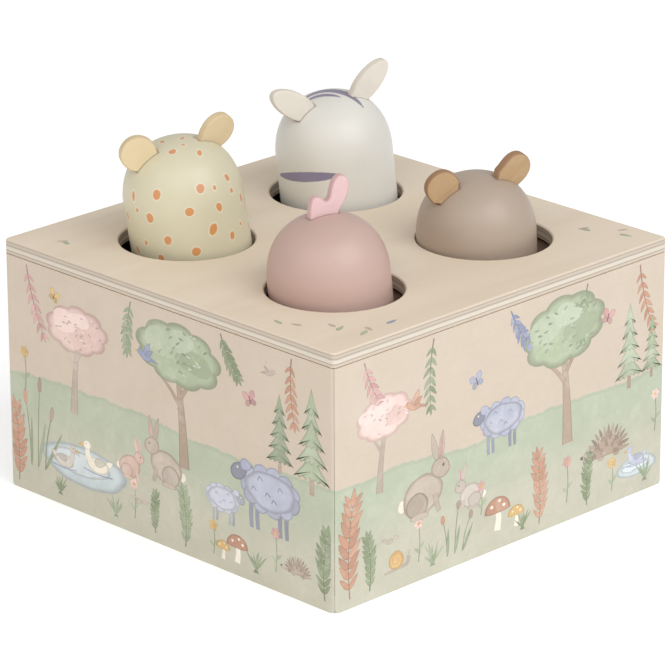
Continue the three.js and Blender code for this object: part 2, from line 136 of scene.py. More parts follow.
def noise(tree, vector, scale, detail=3, roughness=0.6, distortion=0.0):
    """Noise from 0 to 1. A scale of three numbers stretches it."""
    if isinstance(scale, tuple):
        vector = add_node(tree, "Mapping", Vector=vector, Scale=scale).outputs["Vector"]
        scale = 1.0
    node = add_node(tree, "TexNoise", Vector=vector, Scale=scale, Detail=detail)
    return plug(tree, node, Roughness=roughness, Distortion=distortion).outputs["Fac"]


def new_group(name, inputs, outputs):
    """A node group and its two ends. inputs gives the value of each, or None for a vector."""
    tree = bpy.data.node_groups.new(name, "ShaderNodeTree")
    for label, value in inputs.items():
        kind = "Vector" if value is None else "Color" if isinstance(value, tuple) else "Float"
        socket = tree.interface.new_socket(label, in_out="INPUT", socket_type="NodeSocket" + kind)
        if value is not None:
            socket.default_value = value
    for label in outputs:
        kind = "Color" if label == "Color" else "Float"
        tree.interface.new_socket(label, in_out="OUTPUT", socket_type="NodeSocket" + kind)
    return tree, tree.nodes.new("NodeGroupInput").outputs, tree.nodes.new("NodeGroupOutput")


def use_group(tree, group, **values):
    node = add_node(tree, "Group", {"node_tree": group})
    return plug(tree, node, **values).outputs


# Shared effects


def make_wood_group():
    """Grain of a light wood: streaks along X of its vector, fine pores and broad shade."""
    values = {"Vector": None, "Light": (0.8, 0.7, 0.5, 1), "Dark": (0.6, 0.5, 0.4, 1), "Contrast": 1.0}
    tree, inputs, last = new_group("wood_grain", values, ["Color", "Height"])
    broad = noise(tree, inputs["Vector"], (9, 60, 60), 3, 0.5, 0.6)
    streak = noise(tree, inputs["Vector"], (40, 900, 900), 4, 0.6, 0.3)
    pores = noise(tree, inputs["Vector"], (300, 4200, 4200), 2, 0.5)
    shade = weighted(tree, (broad, 0.62), (streak, 0.28), (pores, 0.1))
    spread = times(tree, calculate(tree, "SUBTRACT", shade, 0.5), inputs["Contrast"])
    share = scaled(tree, spread, 2.4, 0.5, clamp=True)
    colour = mix(tree, share, inputs["Dark"], inputs["Light"])
    plug(tree, last, Color=colour, Height=calculate(tree, "ADD", streak, pores))
    return tree


def make_wash_group():
    """A water colour wash: pools of pigment, blooms and the tooth of what it is printed on."""
    values = {"Vector": None, "Color": (0.5, 0.5, 0.5, 1), "Strength": 1.0}
    tree, inputs, last = new_group("wash", values, ["Color"])
    pools = noise(tree, inputs["Vector"], 60.0, 4, 0.6, 0.8)
    blooms = noise(tree, inputs["Vector"], 210.0, 3, 0.55, 1.2)
    tooth = noise(tree, inputs["Vector"], 1500.0, 2, 0.5)
    total = weighted(tree, (pools, 0.5), (blooms, 0.35), (tooth, 0.15))
    swing = times(tree, calculate(tree, "SUBTRACT", total, 0.5), inputs["Strength"])
    dark = times(tree, swing, 1.3, clamp=True)
    light = times(tree, swing, -1.7, clamp=True)
    lighter = mix(tree, light, inputs["Color"], srgb(246, 240, 228))
    plug(tree, last, Color=mix(tree, dark, lighter, srgb(120, 112, 100)))
    return tree


def make_paint_group():
    """Satin paint on turned wood: faint rings of the turning, soft mottling and a fine skin."""
    values = {"Vector": None, "Color": (0.5, 0.5, 0.5, 1)}
    tree, inputs, last = new_group("satin_paint", values, ["Color", "Roughness", "Height"])
    mottle = noise(tree, inputs["Vector"], 45.0, 3, 0.5)
    fine = noise(tree, inputs["Vector"], 900.0)
    rings = noise(tree, inputs["Vector"], (20, 20, 900), 2, 0.5)
    shade = scaled(tree, fine, 0.03, scaled(tree, mottle, 0.1, 0.935))
    shaded = add_node(tree, "VectorMath", {"operation": "SCALE"}, Scale=shade)
    connect(tree, shaded.inputs[0], inputs["Color"])
    roughness = scaled(tree, fine, 0.12, 0.36)
    height = weighted(tree, (rings, 0.5), (fine, 0.5))
    plug(tree, last, Color=shaded.outputs[0], Roughness=roughness, Height=height)
    return tree


wood_group = make_wood_group()
wash_group = make_wash_group()
paint_group = make_paint_group()

# Materials

PLY_LIGHT = srgb(231, 216, 195)
PLY_DARK = srgb(217, 199, 175)
# Plies of the lid: depth below its top face as a share of its thickness, and colour. The last bands, on the
# rounded bottom edge over the joint with the wall, are painted light that lifts the shade falling in that
# joint.
PLY_AND_PAINTED_LIGHT_BANDS = [
    (0.0, (222, 206, 188)), (0.1, (220, 204, 186)), (0.135, (152, 132, 114)), (0.175, (194, 180, 164)),
    (0.27, (206, 195, 180)), (0.33, (192, 180, 165)), (0.4, (170, 157, 143)), (0.45, (202, 191, 176)),
    (0.5, (221, 211, 195)), (0.69, (222, 212, 197)), (0.735, (142, 128, 114)), (0.78, (206, 193, 176)),
    (0.9, (206, 191, 172)), (0.94, (246, 234, 216)), (1.0, (246, 234, 216)),
]
HILL_HEIGHT = 30.5
MARK_WOBBLE = 0.34
HALO_WIDTH = 0.5
SEAM_SHADE_WIDTH = 0.75


def new_material(name, **inputs):
    """A material, its tree, its shader and the place on the object that its patterns take."""
    material = bpy.data.materials.new(name)
    material.use_nodes = True
    tree = material.node_tree
    shader = plug(tree, tree.nodes["Principled BSDF"], **inputs)
    return material, tree, shader, add_node(tree, "TexCoord").outputs["Object"]


def add_bump(tree, shader, height, strength, distance):
    bump = add_node(tree, "Bump", Height=height, Strength=strength, Distance=distance)
    plug(tree, shader, Normal=bump.outputs["Normal"])


def split(tree, vector):
    return add_node(tree, "SeparateXYZ", Vector=vector).outputs


def attribute(tree, name, kind="Fac"):
    return add_node(tree, "Attribute", {"attribute_name": name}).outputs[kind]


def make_ply_material(name, find_colour):
    """Birch plywood, coloured by a function of the tree, the place and the wood's own colour."""
    material, tree, shader, place = new_material(name, Roughness=0.55)
    grain = use_group(tree, wood_group, Vector=place, Light=PLY_LIGHT, Dark=PLY_DARK, Contrast=0.7)
    plug(tree, shader, Base_Color=find_colour(tree, place, grain["Color"]))
    add_bump(tree, shader, grain["Height"], 0.12, 0.0002)
    return material


def ply_colour(tree, place, face_colour):
    """The lid's face wood above, and its plies by their depth below the top face, with painted light on the
    rounded bottom edge.
    """
    lowest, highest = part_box("lid")
    depth = calculate(tree, "SUBTRACT", highest[2] / MM, times(tree, split(tree, place)[2], 1 / MM))
    ripple = noise(tree, place, (140, 140, 20), 2, 0.5)
    depth = calculate(tree, "ADD", depth, scaled(tree, ripple, 0.16, -0.08))
    share = calculate(tree, "DIVIDE", depth, (highest[2] - lowest[2]) / MM)
    ramp = add_node(tree, "ValToRGB", Fac=share)
    elements = ramp.color_ramp.elements
    while len(elements) < len(PLY_AND_PAINTED_LIGHT_BANDS):
        elements.new(0.5)
    for element, (position, tone) in zip(elements, PLY_AND_PAINTED_LIGHT_BANDS):
        element.position = position
        element.color = srgb(*tone)
    fibre = noise(tree, place, (1400, 1400, 2600))
    edge = mix(tree, times(tree, fibre, 0.3), ramp.outputs["Color"], srgb(150, 128, 104))
    return mix(tree, step_up(tree, depth, 0.1, 0.22), face_colour, edge)


def printed_colour(tree, place, wood_colour):
    """The print's ground on a wall's outside: cream sky, and a hill with a ragged wet edge. On the inside
    the wood is darkened towards brown as painted shade.
    """
    x, y, z = split(tree, place)
    x, y = calculate(tree, "ABSOLUTE", x), calculate(tree, "ABSOLUTE", y)
    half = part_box("lid")[1][0]
    outside = step_up(tree, calculate(tree, "MAXIMUM", x, y), half - 0.9 * MM, half - 0.7 * MM)

    def washed(colour, strength):
        return use_group(tree, wash_group, Vector=place, Color=srgb(*colour), Strength=strength)["Color"]

    sky = mix(tree, 0.35, washed((194, 178, 163), 0.3), wood_colour)
    line = noise(tree, place, (16, 16, 0), 1, 0.4)
    blades = noise(tree, place, (900, 900, 60))
    ragged = noise(tree, place, (130, 130, 50))
    hill_line = weighted(tree, (line, 11.0), (ragged, 2.6), (blades, 1.6))
    hill_line = calculate(tree, "ADD", hill_line, HILL_HEIGHT)
    below = calculate(tree, "SUBTRACT", hill_line, times(tree, z, 1 / MM))
    near = washed((193, 190, 171), 0.45)
    far = washed((180, 187, 164), 0.5)
    hill = mix(tree, step_up(tree, below, 6.0, 26.0), far, near)
    wet_edge = times(tree, step_up(tree, below, 0.0, 0.5), step_up(tree, below, 1.8, 0.6))
    hill = mix(tree, times(tree, wet_edge, 0.25), hill, srgb(150, 160, 134))
    ground = mix(tree, step_up(tree, below, -0.2, 0.4), sky, hill)
    streak = noise(tree, place, (60, 60, 1600))
    ground = mix(tree, times(tree, streak, 0.1), ground, srgb(168, 150, 124))
    mitre = step_up(tree, calculate(tree, "MINIMUM", x, y), half - 0.45 * MM, half - 0.15 * MM)
    ground = mix(tree, times(tree, mitre, 0.6), ground, srgb(222, 212, 196))
    # Inside the box the wall's wood is darkened towards brown: painted shade.
    return mix(tree, outside, mix(tree, 0.85, wood_colour, srgb(118, 98, 78)), ground)


def make_wood_material(name, light, dark):
    material, tree, shader, place = new_material(name, Roughness=0.6)
    grain = use_group(tree, wood_group, Vector=place, Light=srgb(*light), Dark=srgb(*dark), Contrast=1.2)
    plug(tree, shader, Base_Color=grain["Color"])
    add_bump(tree, shader, grain["Height"], 0.2, 0.0002)
    return material


def make_steel_material(name, colour, roughness):
    material, tree, shader, place = new_material(name, Metallic=1.0)
    scuffs = noise(tree, place, (700, 700, 2600))
    scuffed = mix(tree, times(tree, scuffs, 0.35), srgb(*colour), srgb(112, 110, 108))
    plug(tree, shader, Base_Color=scuffed, Roughness=scaled(tree, scuffs, 0.2, roughness))
    add_bump(tree, shader, scuffs, 0.08, 0.0001)
    return material


def make_paint_material(name, colour, mark=None, far_mark=None, halo_strength=0.0):
    """Satin paint. The mesh says how far each point is from the marks, from the face's paint and from the
    ears or comb, round whose feet the paint is darkened as painted shade. A mark's own tone goes from mark
    to far_mark, and it may have a pale halo."""
    material, tree, shader, place = new_material(name, Coat_Weight=0.12, Coat_Roughness=0.28)
    base = srgb(*colour)
    if mark:
        wobble = noise(tree, place, 1400.0, 2)
        distance = calculate(tree, "SUBTRACT", attribute(tree, "mark_distance"), MARK_WOBBLE / 2)
        edge = scaled(tree, wobble, MARK_WOBBLE, distance)
        own_tone = times(tree, attribute(tree, "mark_tone"), 0.6)
        tone = scaled(tree, noise(tree, place, 380.0), 0.5, own_tone, clamp=True)
        halo = times(tree, step_up(tree, edge, HALO_WIDTH, 0.05), halo_strength)
        base = mix(tree, halo, base, srgb(238, 230, 210))
        inside = times(tree, step_up(tree, edge, 0.12, -0.12), 0.93)
        base = mix(tree, inside, base, mix(tree, tone, srgb(*mark), srgb(*far_mark)))
    face = step_up(tree, attribute(tree, "face_distance"), 0.1, -0.1)
    base = mix(tree, face, base, srgb(74, 64, 58))
    # Painted shade: a brown line darkens the paint where the ears or comb go into the head.
    seam_shade = times(tree, step_up(tree, attribute(tree, "seam_distance"), SEAM_SHADE_WIDTH, 0.1), 0.62)
    base = mix(tree, seam_shade, base, srgb(104, 84, 66))
    skin = use_group(tree, paint_group, Vector=place, Color=base)
    plug(tree, shader, Base_Color=skin["Color"], Roughness=skin["Roughness"])
    add_bump(tree, shader, skin["Height"], 0.05, 0.0003)
    return material


def make_plate_material(name, colour, edge_colour):
    """Ears and comb: thin plywood in a stain that is darker where the edge drank it."""
    material, tree, shader, place = new_material(name, Roughness=0.5)
    washed = use_group(tree, wash_group, Vector=place, Color=srgb(*colour), Strength=0.35)["Color"]
    rough = noise(tree, place, (500, 500, 1200))
    worn = step_up(tree, scaled(tree, rough, 0.5, attribute(tree, "rim")), 0.7, 1.2)
    plug(tree, shader, Base_Color=mix(tree, times(tree, worn, 0.8), washed, srgb(*edge_colour)))
    add_bump(tree, shader, rough, 0.08, 0.0002)
    return material


def make_ink_material():
    """Ink of the print: the colour is the patch's own, pooled at its rim."""
    material, tree, shader, place = new_material("ink", Roughness=0.55)
    colour = attribute(tree, "ink", "Color")
    washed = use_group(tree, wash_group, Vector=place, Color=colour, Strength=0.9)["Color"]
    rim = times(tree, step_up(tree, attribute(tree, "rim"), 0.78, 0.98), 0.8)
    dark = mix(tree, 1.0, washed, srgb(205, 200, 196), "MULTIPLY")
    plug(tree, shader, Base_Color=mix(tree, rim, washed, dark))
    return material


birch = make_ply_material("birch", ply_colour)
printed_birch = make_ply_material("printed_birch", printed_colour)
# Birch of the base panel, darkened as painted shade of the box's inside.
plain_birch = make_wood_material("plain_birch", (164, 144, 116), (138, 118, 92))
beech = make_wood_material("beech", (172, 140, 110), (142, 110, 84))
# Beech of the discs, darkened as painted shade of the gaps round the heads.
beech_painted_shade = make_wood_material("beech_painted_shade", (104, 80, 60), (80, 60, 44))
spring_steel = make_steel_material("spring_steel", (196, 198, 202), 0.25)
zinc_steel = make_steel_material("zinc_steel", (214, 214, 208), 0.3)
ink_material = make_ink_material()
body_paints = {
    "leopard": make_paint_material("leopard_paint", (208, 200, 172), (206, 140, 108), (206, 136, 50), 0.45),
    "zebra": make_paint_material("zebra_paint", (217, 213, 204), (134, 124, 152), (116, 107, 134)),
    "hippo": make_paint_material("hippo_paint", (172, 154, 137)),
    "flamingo": make_paint_material("flamingo_paint", (192, 162, 151)),
}
plate_paints = {
    "leopard": make_plate_material("leopard_ear_paint", (218, 198, 159), (206, 184, 146)),
    "zebra": make_plate_material("zebra_ear_paint", (224, 217, 204), (214, 205, 190)),
    "hippo": make_plate_material("hippo_ear_paint", (182, 150, 111), (146, 108, 76)),
    "flamingo": make_plate_material("flamingo_comb_paint", (217, 183, 182), (202, 164, 162)),
}


# Carried over solids

WELD_DISTANCE = 0.002 * MM
SHARP_ANGLE = math.radians(28)


def make_soften_tree():
    """Joins the vertices that share a place, then shades smooth across blunt edges only."""
    tree = bpy.data.node_groups.new("soften", "GeometryNodeTree")
    for direction in ("INPUT", "OUTPUT"):
        tree.interface.new_socket("Geometry", in_out=direction, socket_type="NodeSocketGeometry")
    first = tree.nodes.new("NodeGroupInput")
    weld = plug(tree, tree.nodes.new("GeometryNodeMergeByDistance"), Distance=WELD_DISTANCE)
    faces = tree.nodes.new("GeometryNodeSetShadeSmooth")
    faces.domain = "FACE"
    edges = plug(tree, tree.nodes.new("GeometryNodeSetShadeSmooth"), Shade_Smooth=False)
    edges.domain = "EDGE"
    angle = tree.nodes.new("GeometryNodeInputMeshEdgeAngle")
    sharp = tree.nodes.new("FunctionNodeCompare")
    sharp.data_type = "FLOAT"
    sharp.operation = "GREATER_THAN"
    sharp.inputs[1].default_value = SHARP_ANGLE
    connect(tree, sharp.inputs[0], angle.outputs["Unsigned Angle"])
    plug(tree, weld, Geometry=first.outputs[0])
    plug(tree, faces, Geometry=weld.outputs["Geometry"])
    plug(tree, edges, Geometry=faces.outputs["Geometry"], Selection=sharp.outputs[0])
    connect(tree, tree.nodes.new("NodeGroupOutput").inputs[0], edges.outputs["Geometry"])
    return tree


def node_material(name):
    endings = {
        "lid": birch, "_wall": printed_birch, "base_panel": plain_birch, "_block": beech, "_seat": beech,
        "_disc": beech_painted_shade, "_spring": spring_steel, "_screw": zinc_steel,
    }
    for ending, material in endings.items():
        if name.endswith(ending):
            return material
    paints = plate_paints if name.endswith(("_ear", "_comb")) else body_paints
    return paints[name.split("_")[0]]


def dress_nodes():
    soften = make_soften_tree()
    for name, node in nodes.items():
        node.data.materials.clear()
        node.data.materials.append(node_material(name))
        node.modifiers.new("soften", "NODES").node_group = soften


# Meshes


def make_object(name, vertices, faces, material, body, smooth=math.inf):
    """A piece that rides on a body. smooth is how many of its faces, from the first on, are smooth."""
    mesh = bpy.data.meshes.new(name)
    mesh.from_pydata([tuple(v) for v in vertices], [], faces)
    mesh.polygons.foreach_set("use_smooth", [k < smooth for k in range(len(faces))])
    mesh.materials.append(material)
    mesh.update()
    piece = bpy.data.objects.new(name, mesh)
    bpy.context.scene.collection.objects.link(piece)
    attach(piece, body)
    return piece


def store_values(piece, name, values):
    layer = piece.data.attributes.new(name, "FLOAT", "POINT")
    layer.data.foreach_set("value", values)


def ring_faces(rings, count, first=0):
    """Quads between rings of count vertices each, the first of which starts at vertex first."""
    faces = []
    for ring in range(rings - 1):
        for k in range(count):
            a, b = first + ring * count + k, first + ring * count + (k + 1) % count
            faces.append((a, b, b + count, a + count))
    return faces


def bezier_weights(t):
    return (1 - t) ** 3, 3 * t * (1 - t) ** 2, 3 * t * t * (1 - t), t**3


def cubic(p0, p1, p2, p3, steps):
    """Points along a Bezier curve, its last one left out."""
    points = []
    for step in range(steps):
        weights = bezier_weights(step / steps)
        points.append(tuple(sum(w * c for w, c in zip(weights, part)) for part in zip(p0, p1, p2, p3)))
    return points


def smooth_line(points, steps=8):
    """A smooth line through the points, whose ends stay sharp."""
    line = []
    ends = [points[0]] + list(points) + [points[-1]]
    for p0, p1, p2, p3 in zip(ends, ends[1:], ends[2:], ends[3:]):
        leave = tuple(b + (c - a) / 6 for a, b, c in zip(p0, p1, p2))
        arrive = tuple(c - (d - b) / 6 for b, c, d in zip(p1, p2, p3))
        line += cubic(p1, leave, arrive, p2, steps)
    return line + [points[-1]]


# Turned heads

HEAD_SEGMENTS = 192
DOME_RINGS = 72
SIDE_RINGS = 36
DOME_HEIGHT = 18.7
DOME_HANDLE_SHARE = 0.61
FOOT_ROUND = 0.8
FOOT_STEPS = 4
# A distance that is past every edge of a mark, and one that is past the painted shade where a plate goes
# into the head
FAR = 5.0
SEAM_REACH = 2.0

# Marks of the leopard: bearing in degrees round the head from the side that the camera sees, height
# above the lid, half width, half height, turn in degrees and tone. In millimetres.
LEOPARD_SPOTS = [
    (-65, 31.5, 1.1, 0.7, 0, 0.2), (60, 31.6, 1.1, 0.6, 0, 0.2), (70, 30.4, 0.5, 0.4, 0, 0.9),
    (25, 30.9, 0.6, 0.5, 0, 0.3), (-5, 30.1, 1.2, 1.0, 0, 0.2), (40, 28.5, 0.7, 1.3, -35, 0.4),
    (55, 20, 0.8, 1.3, 15, 0.6), (-55, 19, 0.7, 1.5, 5, 0.6), (-110, 13, 0.5, 0.8, 0, 0.9),
    (-25, 20, 1.3, 1.5, 0, 0.5), (20, 20, 1.3, 1.4, 0, 0.1), (35, 19, 0.6, 0.8, -15, 0.6),
    (55, 16, 0.6, 0.9, 0, 0.7), (70, 12, 0.7, 1.5, 10, 0.6), (-50, 15, 0.6, 0.7, 20, 0.8),
    (-70, 12, 0.5, 1.5, 10, 0.7), (-35, 13, 1.2, 1.6, -10, 0.5), (5, 14, 1.3, 1.4, 0, 0.8),
    (35, 13, 1.0, 1.4, 10, 0.7), (60, 5, 0.5, 0.7, 0, 0.9), (25, 7, 1.2, 1.9, -25, 1.0),
    (45, 3, 0.9, 1.3, 0, 0.8), (80, 2, 0.5, 1.3, 10, 0.7), (-45, 5, 0.6, 0.8, 0, 0.8),
    (-60, 2, 0.6, 1.3, 20, 0.7), (-20, 6, 1.2, 1.4, 0, 0.6), (5, 1.5, 1.3, 1.4, 0, 0.9),
    (-30, 0.5, 1.0, 1.1, 10, 0.4),
]
# Stripes of the zebra on its side: bearings and heights of three points, and the greatest half width
ZEBRA_SIDE_STRIPES = [
    ((-76, 8.6), (-32, 10.4), (5, 10.7), 1.6),
    ((-172, 12.4), (-134, 14.0), (-104, 12.6), 1.5),
    ((98, 12.6), (124, 13.8), (152, 12.6), 1.6),
    ((-186, 5.2), (-146, 6.4), (-112, 5.0), 1.4),
    ((96, 4.6), (126, 6.0), (160, 5.2), 1.4),
]
# Stripes over the zebra's crown: three points to the image's right and towards the camera, seen from
# above, and the greatest half width
ZEBRA_CROWN_STRIPES = [
    ((-7.6, 0.8), (0.6, -1.4), (10.5, 7.0), 1.9),
    ((-7.0, 3.3), (-2.0, 2.3), (3.9, 4.6), 1.0),
    ((-8.0, -5.0), (0.5, -6.2), (8.5, -5.4), 1.1),
]
HIDDEN_SPOTS = 24
HIDDEN_SPOTS_SEED = 7
SPOT_REACH = 6
# The face: its bearing, the eyes' bearing from its middle, and the drop of eyes and nose below the crown
FACE_BEARING = -155.0
EYE_BEARING = 26
EYE_DROP = 13
NOSE_DROP = 16.4

# Sizes of the ears and the comb
PLATE_THICKNESS = 2.7
PLATE_EDGE_ROUND = 0.5
PLATE_EDGE_STEPS = 4
PLATE_HEADING = math.radians(-20)
SIDE_HANDLE_SHARE = 0.57
SIDE_STEPS = 5
TIP_STEPS = 16
# Half width, height above and below the widest line, half width of the foot and of the tab, depth of
# the tab and roundness of the tip. In millimetres.
EARS = {
    "leopard": (5.4, 5.7, 3.2, 4.5, 3.2, 5, 0.58),
    "zebra": (4.1, 8.6, 5.5, 2.9, 2, 5, 0.52),
    "hippo": (5.2, 5.2, 2.1, 5, 3.4, 5, 0.61),
}
# Distance beside the axis and behind it, drop below the crown, tilt outwards, turn and how far the
# sides run on below the foot, of the left and the right ear
EAR_PLACES = {
    "leopard": ((12.7, -2.6, 0.9, 49, 12, 0), (12.9, -2.6, 0.6, 59, 22, 0.4)),
    "zebra": ((13.2, -3.7, 0.5, 54, 0, 0), (11.9, -3.7, -1.5, 49, 12, 0.8)),
    "hippo": ((12.3, -3.5, 1.2, 34, 7, 0), (11.5, -3.5, -0.4, 50, 15, 2.2)),
}
# The comb's outline, [across, above the crown], from its lower left round both lobes
COMB_OUTLINE = [
    (-4.4, -3.0), (-4.6, -0.3), (-4.3, 1.8), (-3.9, 3.8), (-3.2, 5.3), (-1.9, 5.9), (-0.5, 5.2), (0.5, 4.2),
    (1.3, 3.9), (2.2, 4.9), (2.9, 7.0), (4.0, 9.4), (5.9, 10.7), (7.9, 9.9), (8.6, 7.6), (7.8, 4.8),
    (6.3, 2.2), (4.8, 0.4), (3.6, -3.0),
]


def direction(azimuth, elevation):
    flat = math.cos(elevation)
    return Vector((math.sin(azimuth) * flat, -math.cos(azimuth) * flat, math.sin(elevation)))


def view_basis():
    """Directions to the camera, to the image's right and to its top."""
    back = direction(CAMERA_AZIMUTH, CAMERA_ELEVATION)
    right = Vector((0, 0, 1)).cross(back).normalized()
    turned = Matrix.Rotation(CAMERA_ROLL, 3, back)
    return back, turned @ right, turned @ back.cross(right)


def head_frame(animal):
    """Where an animal's axis crosses the lid's top face, and its up, front and right directions. The
    front is the side that the camera sees."""
    up = Vector(joints[animal + "_spin"]["axis"]).normalized()
    origin = Vector(joints[animal + "_spin"]["pos_m"])
    camera = view_basis()[0]
    front = (camera - up * camera.dot(up)).normalized()
    return origin, up, front, up.cross(front)


def axis_extent(animal, node):
    """The lowest and highest height, and the largest radius, of a node about its animal's axis."""
    origin, up, _, _ = head_frame(animal)
    places = [v.co - origin for v in nodes[node].data.vertices]
    heights = [p.dot(up) / MM for p in places]
    radii = [(p - up * p.dot(up)).length / MM for p in places]
    return min(heights), max(heights), max(radii)


def head_profile(foot, crown, radius):
    """[radius, height] from the middle of the foot to the crown."""
    low = crown - DOME_HEIGHT
    side = foot + FOOT_ROUND
    points = [(0.0, foot), (radius * 0.5, foot), (radius - FOOT_ROUND, foot)]
    for step in range(1, FOOT_STEPS):
        turn = math.pi / 2 * step / FOOT_STEPS
        points.append((radius - FOOT_ROUND * (1 - math.sin(turn)), foot + FOOT_ROUND * (1 - math.cos(turn))))
    points += [(radius, side + (low - side) * step / SIDE_RINGS) for step in range(SIDE_RINGS)]
    for step in range(DOME_RINGS):
        a, b, c, d = bezier_weights(step / DOME_RINGS)
        height = low + DOME_HEIGHT * (DOME_HANDLE_SHARE * b + c + d)
        points.append((radius * (a + b + DOME_HANDLE_SHARE * c), height))
    return points + [(0.0, crown)]


def profile_at(profile, height):
    """Radius of the profile at a height, and its slope there as a unit vector [outwards, up]."""
    above_foot = profile[FOOT_STEPS + 1:]
    for (r1, h1), (r2, h2) in zip(above_foot, above_foot[1:]):
        if h1 <= height <= h2 and h2 > h1:
            share = (height - h1) / (h2 - h1)
            length = math.hypot(r2 - r1, h2 - h1)
            return r1 + (r2 - r1) * share, (r2 - r1) / length, (h2 - h1) / length
    return 0.0, -1.0, 0.0


def spot_frames(profile, spots):
    """For each spot: its place and its two tangent directions, with its sizes, in head coordinates
    [right, front, up]."""
    frames = []
    for bearing, height, half_width, half_height, turn, tone in spots:
        r, out, rise = profile_at(profile, min(height, profile[-1][1] - 0.05))
        b, t = math.radians(bearing), math.radians(turn)
        outward = Vector((math.sin(b), math.cos(b), 0))
        east = Vector((math.cos(b), -math.sin(b), 0))
        north = outward * out + Vector((0, 0, rise))
        across = east * math.cos(t) + north * math.sin(t)
        along = north * math.cos(t) - east * math.sin(t)
        frames.append((outward * r + Vector((0, 0, height)), across, along, half_width, half_height, tone))
    return frames


def spot_distance(point, frames):
    """Distance to the edge of the nearest spot, below zero inside it, and that spot's tone."""
    best, best_tone = FAR, 0.5
    for place, across, along, half_width, half_height, tone in frames:
        offset = point - place
        if offset.length > SPOT_REACH:
            continue
        x, y = offset.dot(across) / half_width, offset.dot(along) / half_height
        angle = math.atan2(y, x)
        ragged = 1 + 0.05 * math.sin(2 * angle + place.x) + 0.03 * math.sin(3 * angle + place.z)
        distance = (math.hypot(x, y) - ragged) * min(half_width, half_height)
        if distance < best:
            best, best_tone = distance, tone
    return best, best_tone


def stripe_samples(first, middle, last, half_width, steps=40):
    """Circles along a stripe through three points: a list of [x, y, radius]."""
    samples = []
    for step in range(steps + 1):
        t = step / steps
        weights = ((1 - t) * (1 - 2 * t), 4 * t * (1 - t), t * (2 * t - 1))
        x, y = [sum(w * c for w, c in zip(weights, part)) for part in zip(first, middle, last)]
        samples.append((x, y, half_width * (4 * t * (1 - t)) ** 0.75))
    return samples


def stripe_distance(x, y, stripes):
    """Distance to the nearest edge of some stripes, and FAR at most."""
    return min([FAR] + [math.hypot(x - u, y - v) - radius for stripe in stripes for u, v, radius in stripe])


def random_spots(crown):
    """Spots for the part of a head that faces away from the camera, clear of its face."""
    rng = random.Random(HIDDEN_SPOTS_SEED)
    spots = []
    while len(spots) < HIDDEN_SPOTS:
        bearing = rng.uniform(88, 262)
        height = rng.uniform(1.5, crown - 8)
        near = [s for s in spots if abs(s[0] - bearing) * 0.31 < 4 and abs(s[1] - height) < 4.4]
        at_face = abs((bearing - FACE_BEARING + 180) % 360 - 180) < 38 and height > crown - 19
        if not near and not at_face:
            sizes = rng.uniform(0.6, 1.3), rng.uniform(0.8, 1.5)
            spots.append((bearing, height, *sizes, rng.uniform(-30, 30), rng.random()))
    return spots


def face_spots(animal, crown):
    """Two eyes and a nose or a beak, on the side that faces away from the camera."""
    nose = (1.3, 2.0) if animal == "flamingo" else (1.5, 1.0)
    eyes = [(FACE_BEARING + side * EYE_BEARING, crown - EYE_DROP, 1.1, 1.2, 0, 0) for side in (-1, 1)]
    return eyes + [(FACE_BEARING, crown - NOSE_DROP, *nose, 0, 0)]


def mark_values(animal, profile, crown, radius):
    """A function of a point in head coordinates that gives its distance to the marks and their tone."""
    if animal == "leopard":
        frames = spot_frames(profile, LEOPARD_SPOTS + random_spots(crown))
        return lambda point: spot_distance(point, frames)
    if animal != "zebra":
        return lambda point: (FAR, 0.5)
    per_degree = radius * math.pi / 180
    sides = []
    for *ends, half_width in ZEBRA_SIDE_STRIPES:
        sides.append(stripe_samples(*[(b * per_degree, h) for b, h in ends], half_width))
    crowns = [stripe_samples(*stripe) for stripe in ZEBRA_CROWN_STRIPES]

    def values(point):
        distance = FAR
        if point.z < crown - DOME_HEIGHT + 6:
            bearing = math.degrees(math.atan2(point.x, point.y))
            places = [(bearing + turn) * per_degree for turn in (0, -360)]
            distance = min(stripe_distance(x, point.z, sides) for x in places)
        elif point.z > crown - 12:
            distance = stripe_distance(point.x, point.y, crowns)
        return distance, 0.5 + 0.5 * math.sin(point.x * 0.35 + point.z * 0.2)

    return values


def ear_outline(half, upper, base, foot, tab, depth, share, skirt):
    """From the tab's right foot, up the right side, over the tip and down the left side."""
    low = -base - skirt
    right = [(tab, low - depth), (tab, low - depth * 0.3), (foot - 0.1, low - 0.1)]
    for step in range(SIDE_STEPS):
        t = step / SIDE_STEPS
        a, b = (1 - t) ** 2, 2 * t * (1 - t)
        right.append((a * foot + (1 - a) * half, -base * (a + b * SIDE_HANDLE_SHARE)))
    right += cubic((half, 0), (half, upper * share), (half * share, upper), (0, upper), TIP_STEPS)
    return right + [(0, upper)] + [(-x, y) for x, y in reversed(right)]


def plate_frame(animal):
    """Where an animal's axis crosses the lid's top face, and the turn from the across, deep and up
    directions that its ears or comb are set out in."""
    origin, up, _, _ = head_frame(animal)
    heading = Vector((math.cos(PLATE_HEADING), math.sin(PLATE_HEADING), 0))
    across = Vector((0, 0, 1)).rotation_difference(up) @ heading
    return origin, Matrix((across, up.cross(across), up)).transposed()


def animal_plates(animal):
    """Each ear or comb of an animal: its node's name and outline, and its turn and place in the directions
    of plate_frame."""
    crown = axis_extent(animal, animal + "_body")[1]
    if animal not in EARS:
        return [(animal + "_comb", COMB_OUTLINE, Matrix.Identity(3), Vector((0, 0, crown)))]
    plates = []
    for side, name, ear in zip((-1, 1), ("_left_ear", "_right_ear"), EAR_PLACES[animal]):
        across, deep, drop, tilt, turn, skirt = ear
        tilted = Matrix.Rotation(side * math.radians(tilt), 3, "Y")
        turned = tilted @ Matrix.Rotation(side * math.radians(turn), 3, "Z")
        move = Vector((side * across, deep, crown - drop))
        plates.append((animal + name, ear_outline(*EARS[animal], skirt), turned, move))
    return plates


